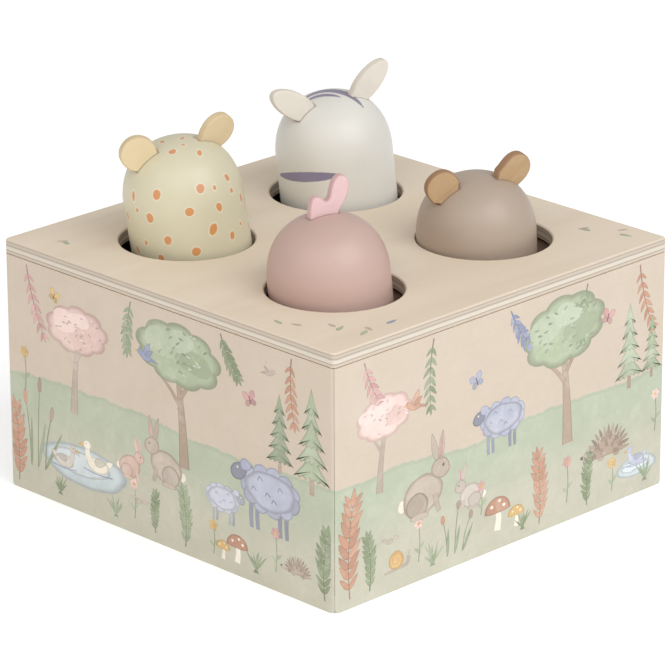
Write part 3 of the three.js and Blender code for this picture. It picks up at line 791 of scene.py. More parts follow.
def outline_gap(x, y, outline):
    """How far a point lies outside a closed outline, and 0 inside it."""
    inside, nearest = False, FAR
    for (x1, y1), (x2, y2) in zip(outline, outline[1:] + outline[:1]):
        if (y1 > y) != (y2 > y) and x < x1 + (y - y1) / (y2 - y1) * (x2 - x1):
            inside = not inside
        dx, dy = x2 - x1, y2 - y1
        share = ((x - x1) * dx + (y - y1) * dy) / (dx * dx + dy * dy or 1.0)
        share = min(max(share, 0), 1)
        nearest = min(nearest, math.hypot(x - x1 - share * dx, y - y1 - share * dy))
    return 0.0 if inside else nearest


def seam_values(animal):
    """A function of a place in the world that gives its distance from the animal's plates, in millimetres,
    for the line of painted shade where they go into the head."""
    origin, basis = plate_frame(animal)
    plates = [(turned.inverted(), move, outline) for _, outline, turned, move in animal_plates(animal)]

    def distance(place):
        point = (place - origin) @ basis / MM
        best = SEAM_REACH
        for inverse, move, outline in plates:
            local = inverse @ (point - move)
            beside = max(abs(local.y) - PLATE_THICKNESS / 2, 0)
            if beside < best:
                best = min(best, math.hypot(outline_gap(local.x, local.z, outline), beside))
        return best

    return distance


def make_head(animal):
    origin, up, front, right = head_frame(animal)
    foot, crown, radius = axis_extent(animal, animal + "_body")
    profile = head_profile(foot, crown, radius)
    points = [Vector((0, 0, foot))]
    for r, h in profile[1:-1]:
        for segment in range(HEAD_SEGMENTS):
            turn = 2 * math.pi * segment / HEAD_SEGMENTS
            points.append(Vector((r * math.cos(turn), r * math.sin(turn), h)))
    last = len(points)
    points.append(Vector((0, 0, crown)))
    vertices = [origin + (right * p.x + front * p.y + up * p.z) * MM for p in points]
    faces = ring_faces(len(profile) - 2, HEAD_SEGMENTS, 1)
    for a in range(HEAD_SEGMENTS):
        b = (a + 1) % HEAD_SEGMENTS
        faces += [(b + 1, a + 1, 0), (last - HEAD_SEGMENTS + a, last - HEAD_SEGMENTS + b, last)]
    head = make_object(animal + "_head", vertices, faces, body_paints[animal], animal + "_figure")
    marks = mark_values(animal, profile, crown, radius)
    face = spot_frames(profile, face_spots(animal, crown))
    distances, tones = zip(*[marks(p) for p in points])
    store_values(head, "mark_distance", distances)
    store_values(head, "mark_tone", tones)
    store_values(head, "face_distance", [spot_distance(p, face)[0] for p in points])
    store_values(head, "seam_distance", list(map(seam_values(animal), vertices)))
    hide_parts(animal + "_body")


# Ears and comb


def inset(outline, amount):
    """The outline moved inwards. It runs against the clock."""
    moved = []
    for (x1, y1), (x, y), (x2, y2) in zip(outline[-1:] + outline, outline, outline[1:] + outline):
        size = math.hypot(x2 - x1, y2 - y1) or 1.0
        moved.append((x - (y2 - y1) / size * amount, y + (x2 - x1) / size * amount))
    return moved


def make_plate(name, animal, outline, cap, turned, move):
    """A flat plate with rounded edges that stands for the CAD node of this name. cap holds the faces that
    fill the outline."""
    origin, basis = plate_frame(animal)
    half, bend = PLATE_THICKNESS / 2, PLATE_EDGE_ROUND
    rings = [(bend, -half, 0.0)]
    for step in range(1, PLATE_EDGE_STEPS + 1):
        a = math.pi / 2 * step / PLATE_EDGE_STEPS
        rings.append((bend * (1 - math.sin(a)), -half + bend * (1 - math.cos(a)), 1.0))
    rings += [(gap, -out, rim) for gap, out, rim in reversed(rings)]
    vertices = []
    for gap, out, _ in rings:
        points = [turned @ Vector((x, out, y)) + move for x, y in inset(outline, gap)]
        vertices += [origin + basis @ point * MM for point in points]
    faces = ring_faces(len(rings), len(outline))
    sides, last = len(faces), (len(rings) - 1) * len(outline)
    faces += [tuple(reversed(face)) for face in cap] + [tuple(last + k for k in face) for face in cap]
    plate = make_object(name + "_plate", vertices, faces, plate_paints[animal], animal + "_figure", sides)
    store_values(plate, "rim", [rim for _, _, rim in rings for _ in outline])
    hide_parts(name)


def make_plates(animal):
    for name, outline, turned, move in animal_plates(animal):
        if animal in EARS:
            last, middle = len(outline) - 1, len(outline) // 2
            cap = [(k, k + 1, last - k - 1, last - k) for k in range(middle - 1)]
            cap.append((middle - 1, middle, middle + 1))
        else:
            outline = smooth_line(outline)[::-1]
            cap = [tuple(range(len(outline)))]
        make_plate(name, animal, outline, cap, turned, move)


# Springs

SPRING_WIRE = 1.2
SPRING_TURNS = 8
SPRING_END_TURNS = 1
SPRING_END_GAP = 0.6
SPRING_PLAY = 0.3
SPRING_STEPS = 32
SPRING_SIDES = 12
SPRING_MEAN_RADIUS = 12
DISC_HUB = 4
SEAT_TOP = 9.1


def spring_points(animal):
    """Points along the wire, each with the middle of its turn, the foot of the spring and its height
    along the animal's axis, in metres."""
    origin, up, _, _ = head_frame(animal)
    seat_low, seat_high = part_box(animal + "_spring_seat")
    foot = (Vector(seat_low) + Vector(seat_high)) / 2
    foot.z = SEAT_TOP * MM
    disc_low = axis_extent(animal, animal + "_retaining_disc")[0] + DISC_HUB
    top = origin + up * disc_low * MM
    length = (top - foot).length
    controls = (foot, foot + Vector((0, 0, length / 3)), top - up * length / 3, top)

    def place(t):
        return sum((w * control for w, control in zip(bezier_weights(t), controls)), Vector())

    end = (SPRING_WIRE / 2 + SPRING_PLAY) * MM / length
    closed = SPRING_END_TURNS * (SPRING_WIRE + SPRING_END_GAP) * MM / length
    open_turns = SPRING_TURNS - 2 * SPRING_END_TURNS
    points = []
    for step in range(SPRING_TURNS * SPRING_STEPS + 1):
        turn = step / SPRING_STEPS
        low = min(turn, SPRING_END_TURNS) / SPRING_END_TURNS
        high = max(0, turn - SPRING_TURNS + SPRING_END_TURNS) / SPRING_END_TURNS
        middle_share = min(max(turn - SPRING_END_TURNS, 0), open_turns) / open_turns
        t = end + closed * (low + high) + (1 - 2 * (end + closed)) * middle_share
        middle = place(t)
        along = (place(min(t + 0.01, 1)) - place(max(t - 0.01, 0))).normalized()
        sideways = (Vector((1, 0, 0)) - along * along.x).normalized()
        radial = Matrix.Rotation(2 * math.pi * turn, 3, along) @ sideways
        points.append((middle, middle + radial * SPRING_MEAN_RADIUS * MM))
    return points, foot, (top - foot).dot(up)


def make_spring(animal):
    points, foot, height = spring_points(animal)
    vertices = []
    count = len(points)
    for i, (middle, place) in enumerate(points):
        along = (points[min(i + 1, count - 1)][1] - points[max(i - 1, 0)][1]).normalized()
        outward = place - middle
        outward = (outward - along * outward.dot(along)).normalized()
        across = along.cross(outward)
        for side in range(SPRING_SIDES):
            turn = 2 * math.pi * side / SPRING_SIDES
            offset = outward * math.cos(turn) + across * math.sin(turn)
            vertices.append(place + offset * SPRING_WIRE * MM / 2)
    faces = ring_faces(count, SPRING_SIDES)
    faces.append(tuple(reversed(range(SPRING_SIDES))))
    faces.append(tuple(range((count - 1) * SPRING_SIDES, count * SPRING_SIDES)))
    coil = make_object(animal + "_coil", vertices, faces, spring_steel, "box")
    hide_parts(animal + "_spring")
    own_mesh(coil)


# The print

INK_LIFT = 0.008
INK_LAYER = 0.0022
PRINT_FOOT = 0.6
WALL_TOP = 74.3
SPRIG_TOP = 73.2
CORNER_RADIUS = 1.6
LID_MARGIN = 0.5
PETAL_STEPS = 10
BLOB_STEPS = 36
CLOUD_STEPS = 108
WASH_STEPS = 30
TREE_LEAVES = 30
TONE_SPREAD = 0.09
FIRST_WALL_SEED = 11
LID_SEED = 31

SAGE = (168, 178, 146)
MOSS = (138, 150, 116)
FERN = (152, 164, 132)
LAVENDER = (176, 178, 196)
DUSK = (146, 152, 178)
ROSE = (208, 160, 156)
BLUSH = (232, 200, 190)
RUST = (196, 148, 122)
OCHRE = (214, 176, 112)
BARK = (176, 154, 134)
TAUPE = (188, 172, 156)
CREAM = (240, 230, 212)
INKY = (104, 92, 84)
POND = (196, 206, 208)


def shade(colour, amount):
    """The colour lightened, or darkened where amount is below zero."""
    aim = 255 if amount > 0 else 60
    return tuple(c + (aim - c) * abs(amount) for c in colour)


class Print:
    """Flat patches of ink on one face: u runs to the right and v up, in millimetres. Each motif draws
    in coordinates of its own, x and y, which place, [u, v, size], sets on the face. A size below zero
    mirrors the motif."""

    def __init__(self, seed, limits):
        self.rng = random.Random(seed)
        self.limits = limits
        self.patches = []
        self.place = (0, 0, 1)

    def at(self, x, y):
        u, v, size = self.place
        return u + x * size, v + y * abs(size)

    def add_patch(self, points, rims, faces, colour, layer, varied=True):
        lift = self.rng.uniform(-TONE_SPREAD, TONE_SPREAD) if varied else 0
        low_u, high_u, low_v, high_v = self.limits
        kept = [(min(max(u, low_u), high_u), min(max(v, low_v), high_v)) for u, v in points]
        ink = srgb(*[min(max(c, 0), 255) for c in shade(colour, lift)])
        self.patches.append((layer, kept, rims, faces, ink))

    def fan(self, points, colour, layer, rim=1.0):
        """A patch round the first of its points. Without a rim its tone isn't varied."""
        count = len(points) - 1
        faces = [(0, k + 1, (k + 1) % count + 1) for k in range(count)]
        self.add_patch(points, [0.0] + [rim] * count, faces, colour, layer, rim > 0)

    def stacked(self):
        """The patches from the lowest up, each with a level above all that it may cross."""
        placed_boxes, result = [], []
        for _, points, *rest in sorted(self.patches, key=lambda patch: patch[0]):
            us, vs = zip(*points)
            u1, u2, v1, v2 = min(us), max(us), min(vs), max(vs)
            under = [z for a1, a2, b1, b2, z in placed_boxes if u1 < a2 and a1 < u2 and v1 < b2 and b1 < v2]
            level = max(under, default=0) + 1
            placed_boxes.append((u1, u2, v1, v2, level))
            result.append((level, points, *rest))
        return result

    def turned(self, x, y, offsets, turn):
        """Offsets from [x, y] along and across a direction, as places on the face."""
        u, v = self.at(x, y)
        size, c, s = abs(self.place[2]), math.cos(math.radians(turn)), math.sin(math.radians(turn))
        return [(u + (a * c - b * s) * size, v + (a * s + b * c) * size) for a, b in offsets]

    def rounded(self, x, y, width, height, colour, layer, grow, steps, turn=0, rim=1.0):
        """A rounded patch of these half sizes, which a function of the bearing swells."""
        offsets = [(0, 0)]
        for a in [2 * math.pi * step / steps for step in range(steps)]:
            offsets.append((width * grow(a) * math.cos(a), height * grow(a) * math.sin(a)))
        self.fan(self.turned(x, y, offsets, turn if self.place[2] > 0 else -turn), colour, layer, rim)

    def blob(self, x, y, width, height, colour, layer, turn=0, ragged=0.05):
        waves = [(n, weight, self.rng.uniform(0, 6.28)) for n, weight in ((3, 1), (5, 0.6), (9, 0.4))]

        def grow(a):
            return 1 + ragged * sum(weight * math.sin(n * a + phase) for n, weight, phase in waves)

        self.rounded(x, y, width, height, colour, layer, grow, BLOB_STEPS, turn)

    def cloud(self, x, y, width, height, colour, layer):
        """A rounded patch whose rim is a row of bumps."""
        phase, swell = self.rng.uniform(0, 3.1), self.rng.uniform(0, 6.2)

        def grow(a):
            return 0.88 + 0.12 * abs(math.sin(4.5 * a + phase)) ** 0.7 + 0.05 * math.sin(2 * a + swell)

        self.rounded(x, y, width, height, colour, layer, grow, CLOUD_STEPS)

    def wash(self, x, y, width, height, colour, layer):
        """A rounded patch without a pooled rim."""
        phase = self.rng.uniform(0, 6.28)

        def grow(a):
            return 1 + 0.12 * math.sin(2 * a + phase) + 0.07 * math.sin(3 * a - phase)

        self.rounded(x, y, width, height, colour, layer, grow, WASH_STEPS, rim=0.0)

    def petal(self, x, y, length, width, turn, colour, layer, belly=0.45):
        """A leaf from its foot at [x, y], turned up from the right. width is its half width."""
        side = []
        for share in [step / PETAL_STEPS for step in range(1, PETAL_STEPS)]:
            swell = math.sin(math.pi * share ** (0.7 if belly < 0.5 else 1.3)) ** 0.8
            side.append((length * share, -width * swell))
        rim = [(0, 0)] + side + [(length, 0)] + [(a, -b) for a, b in reversed(side)]
        turn = turn if self.place[2] > 0 else 180 - turn
        self.fan(self.turned(x, y, [(length * belly, 0)] + rim, turn), colour, layer)

    def ribbon(self, points, start, end, colour, layer, steps=8):
        """A stroke through the points whose half width goes from start to end."""
        path = smooth_line([self.at(*point) for point in points], steps)
        points, faces = [], []
        for i, (u, v) in enumerate(path):
            before, after = path[max(i - 1, 0)], path[min(i + 1, len(path) - 1)]
            du, dv = after[0] - before[0], after[1] - before[1]
            half = (start + (end - start) * i / (len(path) - 1)) * abs(self.place[2])
            half /= math.hypot(du, dv) or 1.0
            points += [(u - dv * half, v + du * half), (u, v), (u + dv * half, v - du * half)]
        for k in range(0, len(points) - 3, 3):
            faces += [(k, k + 1, k + 4, k + 3), (k + 1, k + 2, k + 5, k + 4)]
        self.add_patch(points, [1.0, 0.0, 1.0] * len(path), faces, colour, layer)


def sprig(p, length, colour, turn, leaf=4.2, bend=18.0, pairs=7, layer=3):
    """A stem with pairs of narrow leaves in the direction turn."""
    stem, angles = [(0, 0)], []
    for pair in range(1, pairs + 1):
        angles.append(turn + bend * pair / pairs)
        t, (x, y) = math.radians(angles[-1]), stem[-1]
        stem.append((x + math.cos(t) * length / pairs, y + math.sin(t) * length / pairs))
    p.ribbon(stem, 0.28, 0.12, shade(colour, -0.25), layer)
    for pair, ((x, y), angle) in enumerate(zip(stem[1:], angles), 1):
        size = leaf * (0.65 + 0.35 * math.sin(math.pi * pair / (pairs + 1)))
        for side in (-1, 1):
            p.petal(x, y, size, size * 0.17, angle + side * p.rng.uniform(32, 46), colour, layer + 1)
    p.petal(*stem[-1], leaf * 0.8, leaf * 0.14, angles[-1], colour, layer + 1)


def fern(p, height, colour, lean):
    sprig(p, height, colour, 90 + lean, height * 0.26, -2.4 * lean, 9, 4)


def grass(p, colour):
    for blade in range(7):
        turn = 90 + (blade - 3) * 15 + p.rng.uniform(-5, 5)
        p.petal((blade - 3.5) * 0.05, 0, p.rng.uniform(0.7, 1.1), 0.05, turn, colour, 4)


def flower(p, height, colour, petals=6):
    p.ribbon([(0, 0), (0.5, height * 0.5), (0, height)], 0.2, 0.16, MOSS, 4)
    p.petal(0.4, height * 0.35, 2.6, 0.5, 40, SAGE, 4)
    p.petal(0.3, height * 0.25, 2.6, 0.5, 140, SAGE, 4)
    for petal in range(petals):
        p.petal(0, height, 2.0, 0.6, 360 * petal / petals + 12, colour, 5, 0.6)
    p.blob(0, height, 0.56, 0.56, OCHRE, 6)


def round_tree(p, crown, trunk=BARK, lean=0.0):
    """lean is the crown's distance to the right of the foot, in millimetres."""
    lean /= p.place[2]
    p.ribbon([(0, 0), (lean * 0.3, 0.3), (lean, 0.62)], 0.05, 0.022, trunk, 2)
    for side, y in ((-1, 0.42), (1, 0.5), (-1, 0.56)):
        bough = [(lean * 0.5, y), (lean * 0.7 + side * 0.1, y + 0.12), (lean + side * 0.2, y + 0.2)]
        p.ribbon(bough, 0.02, 0.008, trunk, 2)
    p.cloud(lean, 0.79, 0.4, 0.235, crown, 3)
    for x, y, r, lift in ((-0.16, 0.84, 0.17, 0.14), (0.15, 0.77, 0.16, -0.06), (0.03, 0.89, 0.13, 0.2)):
        p.wash(lean + x, y, r, r * 0.55, shade(crown, lift), 4)
    for _ in range(TREE_LEAVES):
        a, r = p.rng.uniform(0, 6.28), p.rng.uniform(0.04, 0.33)
        x, y, turn = lean + math.cos(a) * r, 0.79 + math.sin(a) * r * 0.55, p.rng.uniform(-30, 50)
        p.petal(x, y, 0.045, 0.008, turn, shade(crown, p.rng.choice((-0.22, 0.3, -0.14))), 5)


def fir(p, colour):
    p.ribbon([(0, 0), (0, 0.3)], 0.03, 0.025, BARK, 2)
    for tier in range(5):
        low, half, rise = 0.14 + tier * 0.155, 0.24 - tier * 0.036, 0.3 - tier * 0.012
        hem = [(half * (1 - k / 6), low + (0.018 if k % 2 else -0.012)) for k in range(13)]
        top = [(-half * 0.45, low + rise * 0.42), (0, low + rise), (half * 0.45, low + rise * 0.42)]
        points = [p.at(*point) for point in [(0, low + rise * 0.3)] + hem + top]
        p.fan(points, shade(colour, 0.1 * (tier % 2)), 3 + tier % 3)


def dome(width, height, low, steps):
    """The outline of an upper half of an oval."""
    turns = [math.pi * k / steps for k in range(steps + 1)]
    return [(width * math.cos(a), low + height * math.sin(a)) for a in turns]


def mushroom(p, colour=RUST):
    p.ribbon([(0, 0), (0.05, 0.35), (0, 0.62)], 0.14, 0.09, CREAM, 4)
    cap = [(0, 0.68)] + dome(0.5, 0.42, 0.55, 16) + [(-0.25, 0.5), (0.25, 0.5)]
    p.fan([p.at(*point) for point in cap], colour, 5)
    for x, y in ((-0.22, 0.72), (0.08, 0.84), (0.25, 0.68)):
        p.blob(x, y, 0.06, 0.05, CREAM, 6)


def reeds(p, height):
    for k, (x, share, lean) in enumerate(((0, 1.0, 1.5), (-3, 0.8, -2.0), (3.2, 0.7, 3.5))):
        top = (x + lean, height * share)
        p.ribbon([(x, 0), (x + lean * 0.3, height * share * 0.5), top], 0.24, 0.16, MOSS, 4)
        p.blob(*top, 0.9, height * 0.09, (BARK, RUST)[k % 2], 5, -lean * 3)
        p.petal(x, 0, height * 0.6, 0.6, 76 - 8 * k + 20 * (k % 2), FERN, 4)


def pond(p, width, height):
    p.blob(0, 0, width, height, POND, 1, 0, 0.03)
    p.blob(-width * 0.1, height * 0.1, width * 0.7, height * 0.6, shade(POND, 0.35), 2, 0, 0.03)
    for _ in range(4):
        x, y = p.rng.uniform(-0.5, 0.5) * width, p.rng.uniform(-0.5, 0.5) * height
        p.ribbon([(x - 2, y), (x, y + 0.35), (x + 2, y)], 0.14, 0.08, DUSK, 3)


def rabbit(p, colour=TAUPE):
    p.blob(-0.42, 0.26, 0.09, 0.09, CREAM, 5)
    p.blob(-0.06, 0.32, 0.36, 0.27, colour, 5, 12, 0.02)
    p.blob(-0.16, 0.2, 0.2, 0.17, shade(colour, -0.08), 6, 0, 0.02)
    p.ribbon([(0.16, 0.28), (0.2, 0.12), (0.24, 0.02)], 0.05, 0.035, colour, 6)
    p.blob(-0.12, 0.04, 0.17, 0.045, colour, 6, 0, 0)
    p.blob(0.26, 0.6, 0.17, 0.14, colour, 6, -14, 0.02)
    p.petal(0.2, 0.7, 0.42, 0.06, 104, colour, 5)
    p.petal(0.26, 0.71, 0.4, 0.055, 84, shade(colour, 0.1), 6)
    p.petal(0.26, 0.74, 0.3, 0.028, 84, ROSE, 7)
    p.blob(0.31, 0.63, 0.018, 0.022, INKY, 8)
    p.blob(0.42, 0.56, 0.02, 0.016, ROSE, 8)


def sheep(p, colour=LAVENDER):
    dark = shade(colour, -0.28)
    for x in (-0.26, -0.16, 0.2, 0.3):
        p.ribbon([(x, 0.34), (x + 0.01, 0.16), (x, 0)], 0.035, 0.028, dark, 4)
    for k in range(11):
        a = 2 * math.pi * k / 11
        p.blob(0.36 * math.cos(a), 0.5 + 0.2 * math.sin(a), 0.12, 0.11, colour, 5, 0, 0.03)
    p.blob(0, 0.5, 0.4, 0.23, shade(colour, 0.12), 6, 0, 0.04)
    for x, y in ((-0.2, 0.55), (0.0, 0.44), (0.12, 0.6), (-0.1, 0.38), (0.22, 0.46)):
        p.ribbon([(x, y), (x + 0.05, y + 0.04), (x + 0.08, y - 0.01)], 0.009, 0.006, dark, 7)
    p.blob(0.5, 0.62, 0.14, 0.1, dark, 7, -28, 0.02)
    p.petal(0.42, 0.7, 0.15, 0.035, 170, dark, 8)
    p.blob(0.39, 0.72, 0.09, 0.07, colour, 8)
    p.blob(0.52, 0.66, 0.014, 0.016, CREAM, 8)


def hedgehog(p):
    for x in (-0.2, 0.16):
        p.blob(x, 0.05, 0.07, 0.05, BARK, 4, 0, 0)
    p.petal(0.2, 0.2, 0.42, 0.13, -6, shade(TAUPE, 0.2), 4)
    for row, (count, r, length) in enumerate(((15, 0.34, 0.18), (12, 0.24, 0.16), (8, 0.12, 0.15))):
        for k in range(count):
            a = math.pi * (0.02 + 0.98 * k / (count - 1))
            x, y, tone = r * math.cos(a), 0.1 + r * math.sin(a) * 0.9, shade(BARK, -0.2 * ((k + row) % 2))
            p.petal(x, y, length, 0.03, math.degrees(a), tone, 5 + row % 2)
    p.fan([p.at(*point) for point in [(0, 0.16)] + dome(0.36, 0.34, 0.06, 14)], BARK, 4)
    p.blob(0.41, 0.22, 0.02, 0.022, INKY, 7)
    p.blob(0.61, 0.17, 0.032, 0.03, INKY, 7)


def duck(p, colour=CREAM):
    p.petal(-0.28, 0.3, 0.28, 0.08, 150, colour, 5)
    p.blob(0, 0.24, 0.38, 0.19, colour, 5, 0, 0.02)
    p.ribbon([(0.24, 0.26), (0.34, 0.45), (0.33, 0.62)], 0.11, 0.07, colour, 6)
    p.blob(0.35, 0.66, 0.13, 0.11, colour, 6, 0, 0.01)
    p.petal(0.45, 0.65, 0.2, 0.04, -8, OCHRE, 6)
    p.petal(0.12, 0.3, 0.42, 0.11, 172, shade(colour, -0.18), 7)
    p.blob(0.38, 0.69, 0.016, 0.018, INKY, 7)
    p.ribbon([(-0.5, 0.06), (0, 0.02), (0.5, 0.07)], 0.02, 0.01, DUSK, 7)


def snail(p):
    p.ribbon([(-0.5, 0.03), (0.1, 0.07), (0.42, 0.12), (0.5, 0.34)], 0.04, 0.075, TAUPE, 5)
    for x in (0.46, 0.56):
        p.ribbon([(0.5, 0.36), (x, 0.52)], 0.014, 0.012, TAUPE, 5)
    p.blob(-0.02, 0.34, 0.3, 0.28, OCHRE, 6, 0, 0.02)
    coil = []
    for k in range(12):
        x, y = (0.24 - 0.019 * k) * math.cos(0.75 * k), (0.23 - 0.018 * k) * math.sin(0.75 * k)
        coil.append((x - 0.02, y + 0.34))
    p.ribbon(coil, 0.018, 0.012, RUST, 7, 4)


def butterfly(p, colour=ROSE, turn=20.0):
    for side in (-1, 1):
        p.petal(0, 0, 0.62, 0.2, turn + 90 + side * 42, colour, 5, 0.6)
        p.petal(0, 0, 0.44, 0.16, turn + 90 + side * 118, shade(colour, -0.12), 5, 0.6)
    c, s = math.cos(math.radians(turn + 90)), math.sin(math.radians(turn + 90))
    p.ribbon([(-0.2 * c, -0.2 * s), (0.24 * c, 0.24 * s)], 0.035, 0.025, INKY, 6)


def bird(p, colour=DUSK):
    p.petal(-0.15, 0.05, 0.42, 0.05, 192, shade(colour, -0.15), 5)
    p.blob(0, 0.08, 0.27, 0.13, colour, 5, 10, 0.02)
    p.blob(0.24, 0.17, 0.11, 0.1, colour, 6, 0, 0.01)
    p.petal(0.33, 0.17, 0.12, 0.025, -6, OCHRE, 6)
    p.petal(0.05, 0.12, 0.5, 0.11, 122, shade(colour, 0.15), 6)
    p.petal(0, 0.1, 0.4, 0.09, 148, shade(colour, -0.08), 7)
    p.blob(0.27, 0.19, 0.016, 0.016, INKY, 7)


def pebbles(p):
    for x, y, r in ((0, 0, 1.5), (2.6, 0.5, 1.1), (-2.2, 0.9, 0.9)):
        p.blob(x, y, r, r * 0.6, shade(TAUPE, 0.1), 4, 0, 0.04)


def leaf_marks(p):
    """A few leaf marks at the lid's corners."""
    pairs = ((-56, -57, 20), (-50, -63, 200), (58, -50, 100), (62, -58, 280), (-60, 52, 80), (56, 58, 20))
    for x, y, turn in pairs:
        p.petal(x, y, 4.4, 0.75, turn, SAGE, 1)
        p.petal(x + 1.8, y + 2.4, 3.6, 0.7, turn + 60, TAUPE, 1)
    p.petal(-42, -63, 4.4, 0.7, 4, DUSK, 1)
    p.petal(-63, -42, 4.0, 0.7, 80, SAGE, 1)
    p.petal(-60, -47, 3.6, 0.6, 110, TAUPE, 1)


# Motifs of the front walls in the order of drawing: where each stands, its size and what else it takes
FRONT_LEFT = [
    (sprig, -60, SPRIG_TOP, 1, 21, ROSE, -82), (sprig, -14, SPRIG_TOP, 1, 15, FERN, -108),
    (sprig, 24, SPRIG_TOP, 1, 13, MOSS, -70), (sprig, 53, SPRIG_TOP, 1, 19, RUST, -98),
    (round_tree, -40, 31, 34, BLUSH, TAUPE, 2), (round_tree, 8, 27, 44, SAGE, BARK, -2),
    (fir, 48, 37, 24, shade(MOSS, 0.15)), (fir, 61, 34, 32, SAGE), (sheep, 44, 17, -26),
    (sheep, 24, 15, 15, shade(LAVENDER, 0.25)), (pond, -36, 15, 1, 19, 6.5), (duck, -30, 14, -13),
    (duck, -45, 12, 11, shade(TAUPE, 0.3)), (rabbit, -1, 19, -19), (rabbit, -15, 17, 13, shade(RUST, 0.35)),
    (hedgehog, 55, 7, -11), (mushroom, 30, 4, 9), (mushroom, 24, 3.5, 6, OCHRE), (reeds, -57, 9, 1, 27),
    (fern, -66, 2.5, 1, 23, RUST, -7), (fern, 66, 3, 1, 20, MOSS, 8), (fern, 8, 2.5, 1, 17, FERN, -8),
    (fern, -5, 3, 1, 12, MOSS, 6), (flower, 46, 6, 1, 12, ROSE), (flower, 20, 4, 1, 9, OCHRE, 5),
    (flower, -14, 5, 1, 11, BLUSH, 7), (flower, -62, 33, 1, 12, OCHRE), (grass, 38, 3, 8, MOSS),
    (grass, -22, 3, 7, FERN), (grass, -47, 3, 7, MOSS), (butterfly, 36, 56, 6),
    (butterfly, -48, 66, 5, OCHRE, -25), (bird, -8, 57, -10), (bird, 44, 66, 7, TAUPE),
    (pebbles, -12, 11, 1),
]
FRONT_RIGHT = [
    (sprig, -58, SPRIG_TOP, 1, 17, ROSE, -75), (sprig, -30, SPRIG_TOP, 1, 20, MOSS, -104),
    (sprig, 2, SPRIG_TOP, 1, 14, DUSK, -68), (sprig, 35, SPRIG_TOP, 1, 16, FERN, -110),
    (sprig, 58, SPRIG_TOP, 1, 21, RUST, -84), (round_tree, 27, 25, 46, shade(SAGE, 0.05), BARK, -2),
    (round_tree, -52, 32, 29, BLUSH, TAUPE, 2), (fir, 54, 35, 27, shade(SAGE, 0.1)), (fir, 64, 36, 20, SAGE),
    (rabbit, -33, 19, 23), (rabbit, -15, 16, -14, shade(TAUPE, 0.2)), (sheep, -1, 31, -20),
    (hedgehog, 45, 15, -19), (snail, -45, 6, 10), (duck, 58, 9, -9, shade(DUSK, 0.4)),
    (pond, 58, 9, 1, 9, 3.2), (mushroom, -3, 6, 11), (mushroom, 5, 5, 7, OCHRE),
    (fern, -64, 3, 1, 28, RUST, 7), (fern, -56, 3, 1, 16, MOSS, -8), (fern, 15, 2.5, 1, 21, RUST, -6),
    (fern, 36, 2.5, 1, 15, MOSS, 8), (reeds, -21, 4, 1, 15), (flower, -36, 6, 1, 12, BLUSH),
    (flower, -10, 13, 1, 9, ROSE, 5), (flower, 27, 6, 1, 13, ROSE), (flower, 47, 4, 1, 9, OCHRE, 7),
    (flower, 66, 18, 1, 12, BLUSH), (grass, -30, 3, 8, FERN), (grass, 8, 3, 7, MOSS),
    (grass, 62, 3, 8, FERN), (butterfly, -12, 55, 6, LAVENDER), (butterfly, 44, 60, 6, ROSE, -20),
    (bird, -38, 54, -10, RUST), (pebbles, -48, 16, 1),
]


def back_motifs(m):
    """The two walls behind: the same meadow with other plants and animals. m is -1 on the mirrored one."""
    return [
        (sprig, m * -56, SPRIG_TOP, 1, 15, FERN, -80), (sprig, m * -20, SPRIG_TOP, 1, 18, RUST, -100),
        (sprig, m * 16, SPRIG_TOP, 1, 15, MOSS, -80), (sprig, m * 52, SPRIG_TOP, 1, 18, ROSE, -100),
        (round_tree, m * -30, 29, 38, SAGE if m < 0 else shade(LAVENDER, -0.05), BARK, m * 3),
        (round_tree, m * 44, 34, 27, BLUSH, TAUPE), (fir, m * 8, 35, 24, MOSS if m < 0 else SAGE),
        (fir, m * 19, 36, 18, shade(SAGE, 0.12)), (sheep, m * 28, 18, m * 18),
        (sheep, m * 12, 15, m * -12, shade(LAVENDER, 0.3)), (rabbit, m * -50, 17, m * 16),
        (hedgehog, m * -8, 12, m * 12), (pond, m * 52, 11, 1, 14, 4.6), (duck, m * 52, 10, m * 10),
        (reeds, m * 64, 7, 1, 20), (fern, m * -64, 2.6, 1, 22, RUST, 7),
        (fern, m * -22, 2.6, 1, 14, MOSS, 7), (fern, m * 2, 2.6, 1, 13, FERN, 7),
        (fern, m * 38, 2.6, 1, 17, RUST, 7),
        (flower, m * -58, 5, 1, 10, ROSE), (flower, m * -40, 5, 1, 9, OCHRE),
        (flower, m * 20, 5, 1, 9, BLUSH), (mushroom, m * -32, 5, 8), (mushroom, m * -27, 4, 5, OCHRE),
        (snail, m * 34, 6, m * 7), (grass, m * -14, 3, 8, MOSS), (butterfly, m * 30, 58, 6),
        (bird, m * -6, 62, m * 9),
    ]


def make_print(name, seed, motifs, limits, origin, right, up):
    """The mesh of a print whose [0, 0] lies at origin, in metres. limits are its ends in u and v."""
    drawn = Print(seed, limits)
    for motif, u, v, size, *rest in motifs:
        drawn.place = (u, v, size)
        motif(drawn, *rest)
    vertices, faces, inks, rims = [], [], [], []
    for level, points, patch_rims, patch_faces, ink in drawn.stacked():
        first = len(vertices)
        lift = right.cross(up) * (INK_LIFT + INK_LAYER * level)
        vertices += [origin + (right * u + up * v + lift) * MM for u, v in points]
        faces += [tuple(first + k for k in face) for face in patch_faces]
        inks += ink * len(points)
        rims += patch_rims
    piece = make_object(name, vertices, faces, ink_material, "box", 0)
    piece.data.attributes.new("ink", "FLOAT_COLOR", "POINT").data.foreach_set("color", inks)
    store_values(piece, "rim", rims)


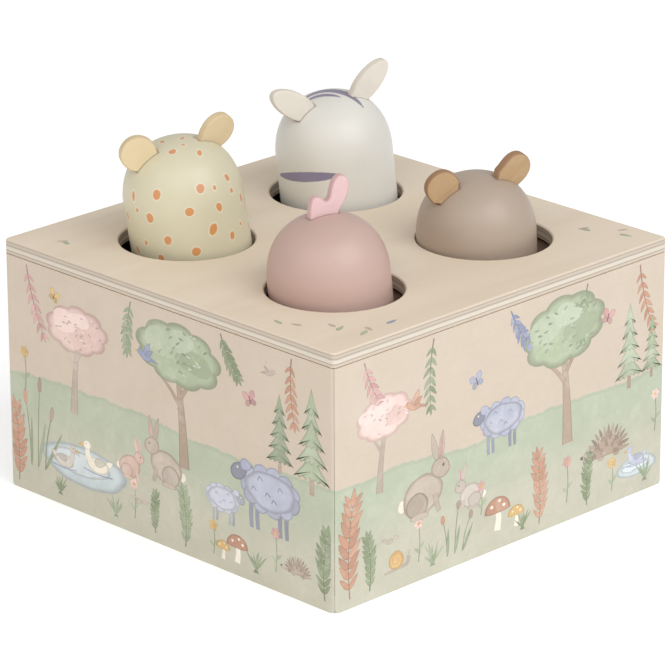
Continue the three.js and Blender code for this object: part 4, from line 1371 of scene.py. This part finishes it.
def make_prints():
    half, _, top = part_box("lid")[1]
    side, reach = half / MM - CORNER_RADIUS, half / MM - LID_MARGIN
    x, y, z = Matrix.Identity(3)
    walls = [
        ("front_right", -y, FRONT_RIGHT), ("back_right", x, back_motifs(-1)),
        ("back_left", y, back_motifs(1)), ("front_left", -x, FRONT_LEFT),
    ]
    limits = (-side, side, PRINT_FOOT, WALL_TOP)
    for seed, (wall, out, motifs) in enumerate(walls, FIRST_WALL_SEED):
        make_print("print_" + wall, seed, motifs, limits, out * half, z.cross(out), z)
    make_print("print_lid", LID_SEED, [(leaf_marks, 0, 0, 1)], (-reach, reach) * 2, z * top, x, y)


# Studio

CAMERA_CLIP_END = 20
FLOOR_SIZE = 6
FLOOR_TONE = (0.97, 0.97, 0.97, 1)
FLOOR_GLOW = 0.27
WORLD_STRENGTH = 0.55
# Each area light: azimuth and elevation in degrees, distance and size in metres, power and colour
LIGHTS = {
    "key": (6, 42, 1.6, 1.1, 10.5, (0.95, 1.0, 1.05)),
    "fill": (-92, 35, 1.6, 0.9, 2.4, (1.05, 1.0, 0.93)),
    "front": (-45, 38, 1.6, 1.3, 6, (1, 1, 1)),
}


def add_camera():
    back, right, top = view_basis()
    camera = bpy.data.objects.new("camera", bpy.data.cameras.new("camera"))
    bpy.context.scene.collection.objects.link(camera)
    camera.data.lens = CAMERA_LENS
    camera.data.clip_end = CAMERA_CLIP_END
    pose = Matrix((right, top, back)).transposed().to_4x4()
    pose.translation = CAMERA_TARGET + back * CAMERA_DISTANCE
    camera.matrix_world = pose
    bpy.context.scene.camera = camera


def add_floor():
    bpy.ops.mesh.primitive_plane_add(size=FLOOR_SIZE)
    floor = bpy.context.object
    floor.name = "floor"
    material, tree, shader, _ = new_material("floor", Roughness=0.8, Base_Color=FLOOR_TONE)
    plug(tree, shader, Emission_Color=(1, 1, 1, 1), Emission_Strength=FLOOR_GLOW)
    floor.data.materials.append(material)


def add_area_light(name, azimuth, elevation, distance, size, power, colour):
    light = bpy.data.lights.new(name, "AREA")
    light.size = size
    light.energy = power
    light.color = colour
    holder = bpy.data.objects.new(name, light)
    bpy.context.scene.collection.objects.link(holder)
    outward = direction(math.radians(azimuth), math.radians(elevation))
    holder.location = outward * distance
    holder.rotation_euler = outward.to_track_quat("Z", "Y").to_euler()


def add_world():
    world = bpy.data.worlds.new("studio")
    world.use_nodes = True
    plug(world.node_tree, world.node_tree.nodes["Background"], Color=(1, 1, 1, 1), Strength=WORLD_STRENGTH)
    bpy.context.scene.world = world
    bpy.context.scene.view_settings.view_transform = "Standard"


dress_nodes()
for animal in ANIMALS:
    make_head(animal)
    make_spring(animal)
    make_plates(animal)
make_prints()
add_camera()
add_floor()
for name, light in LIGHTS.items():
    add_area_light(name, *light)
add_world()
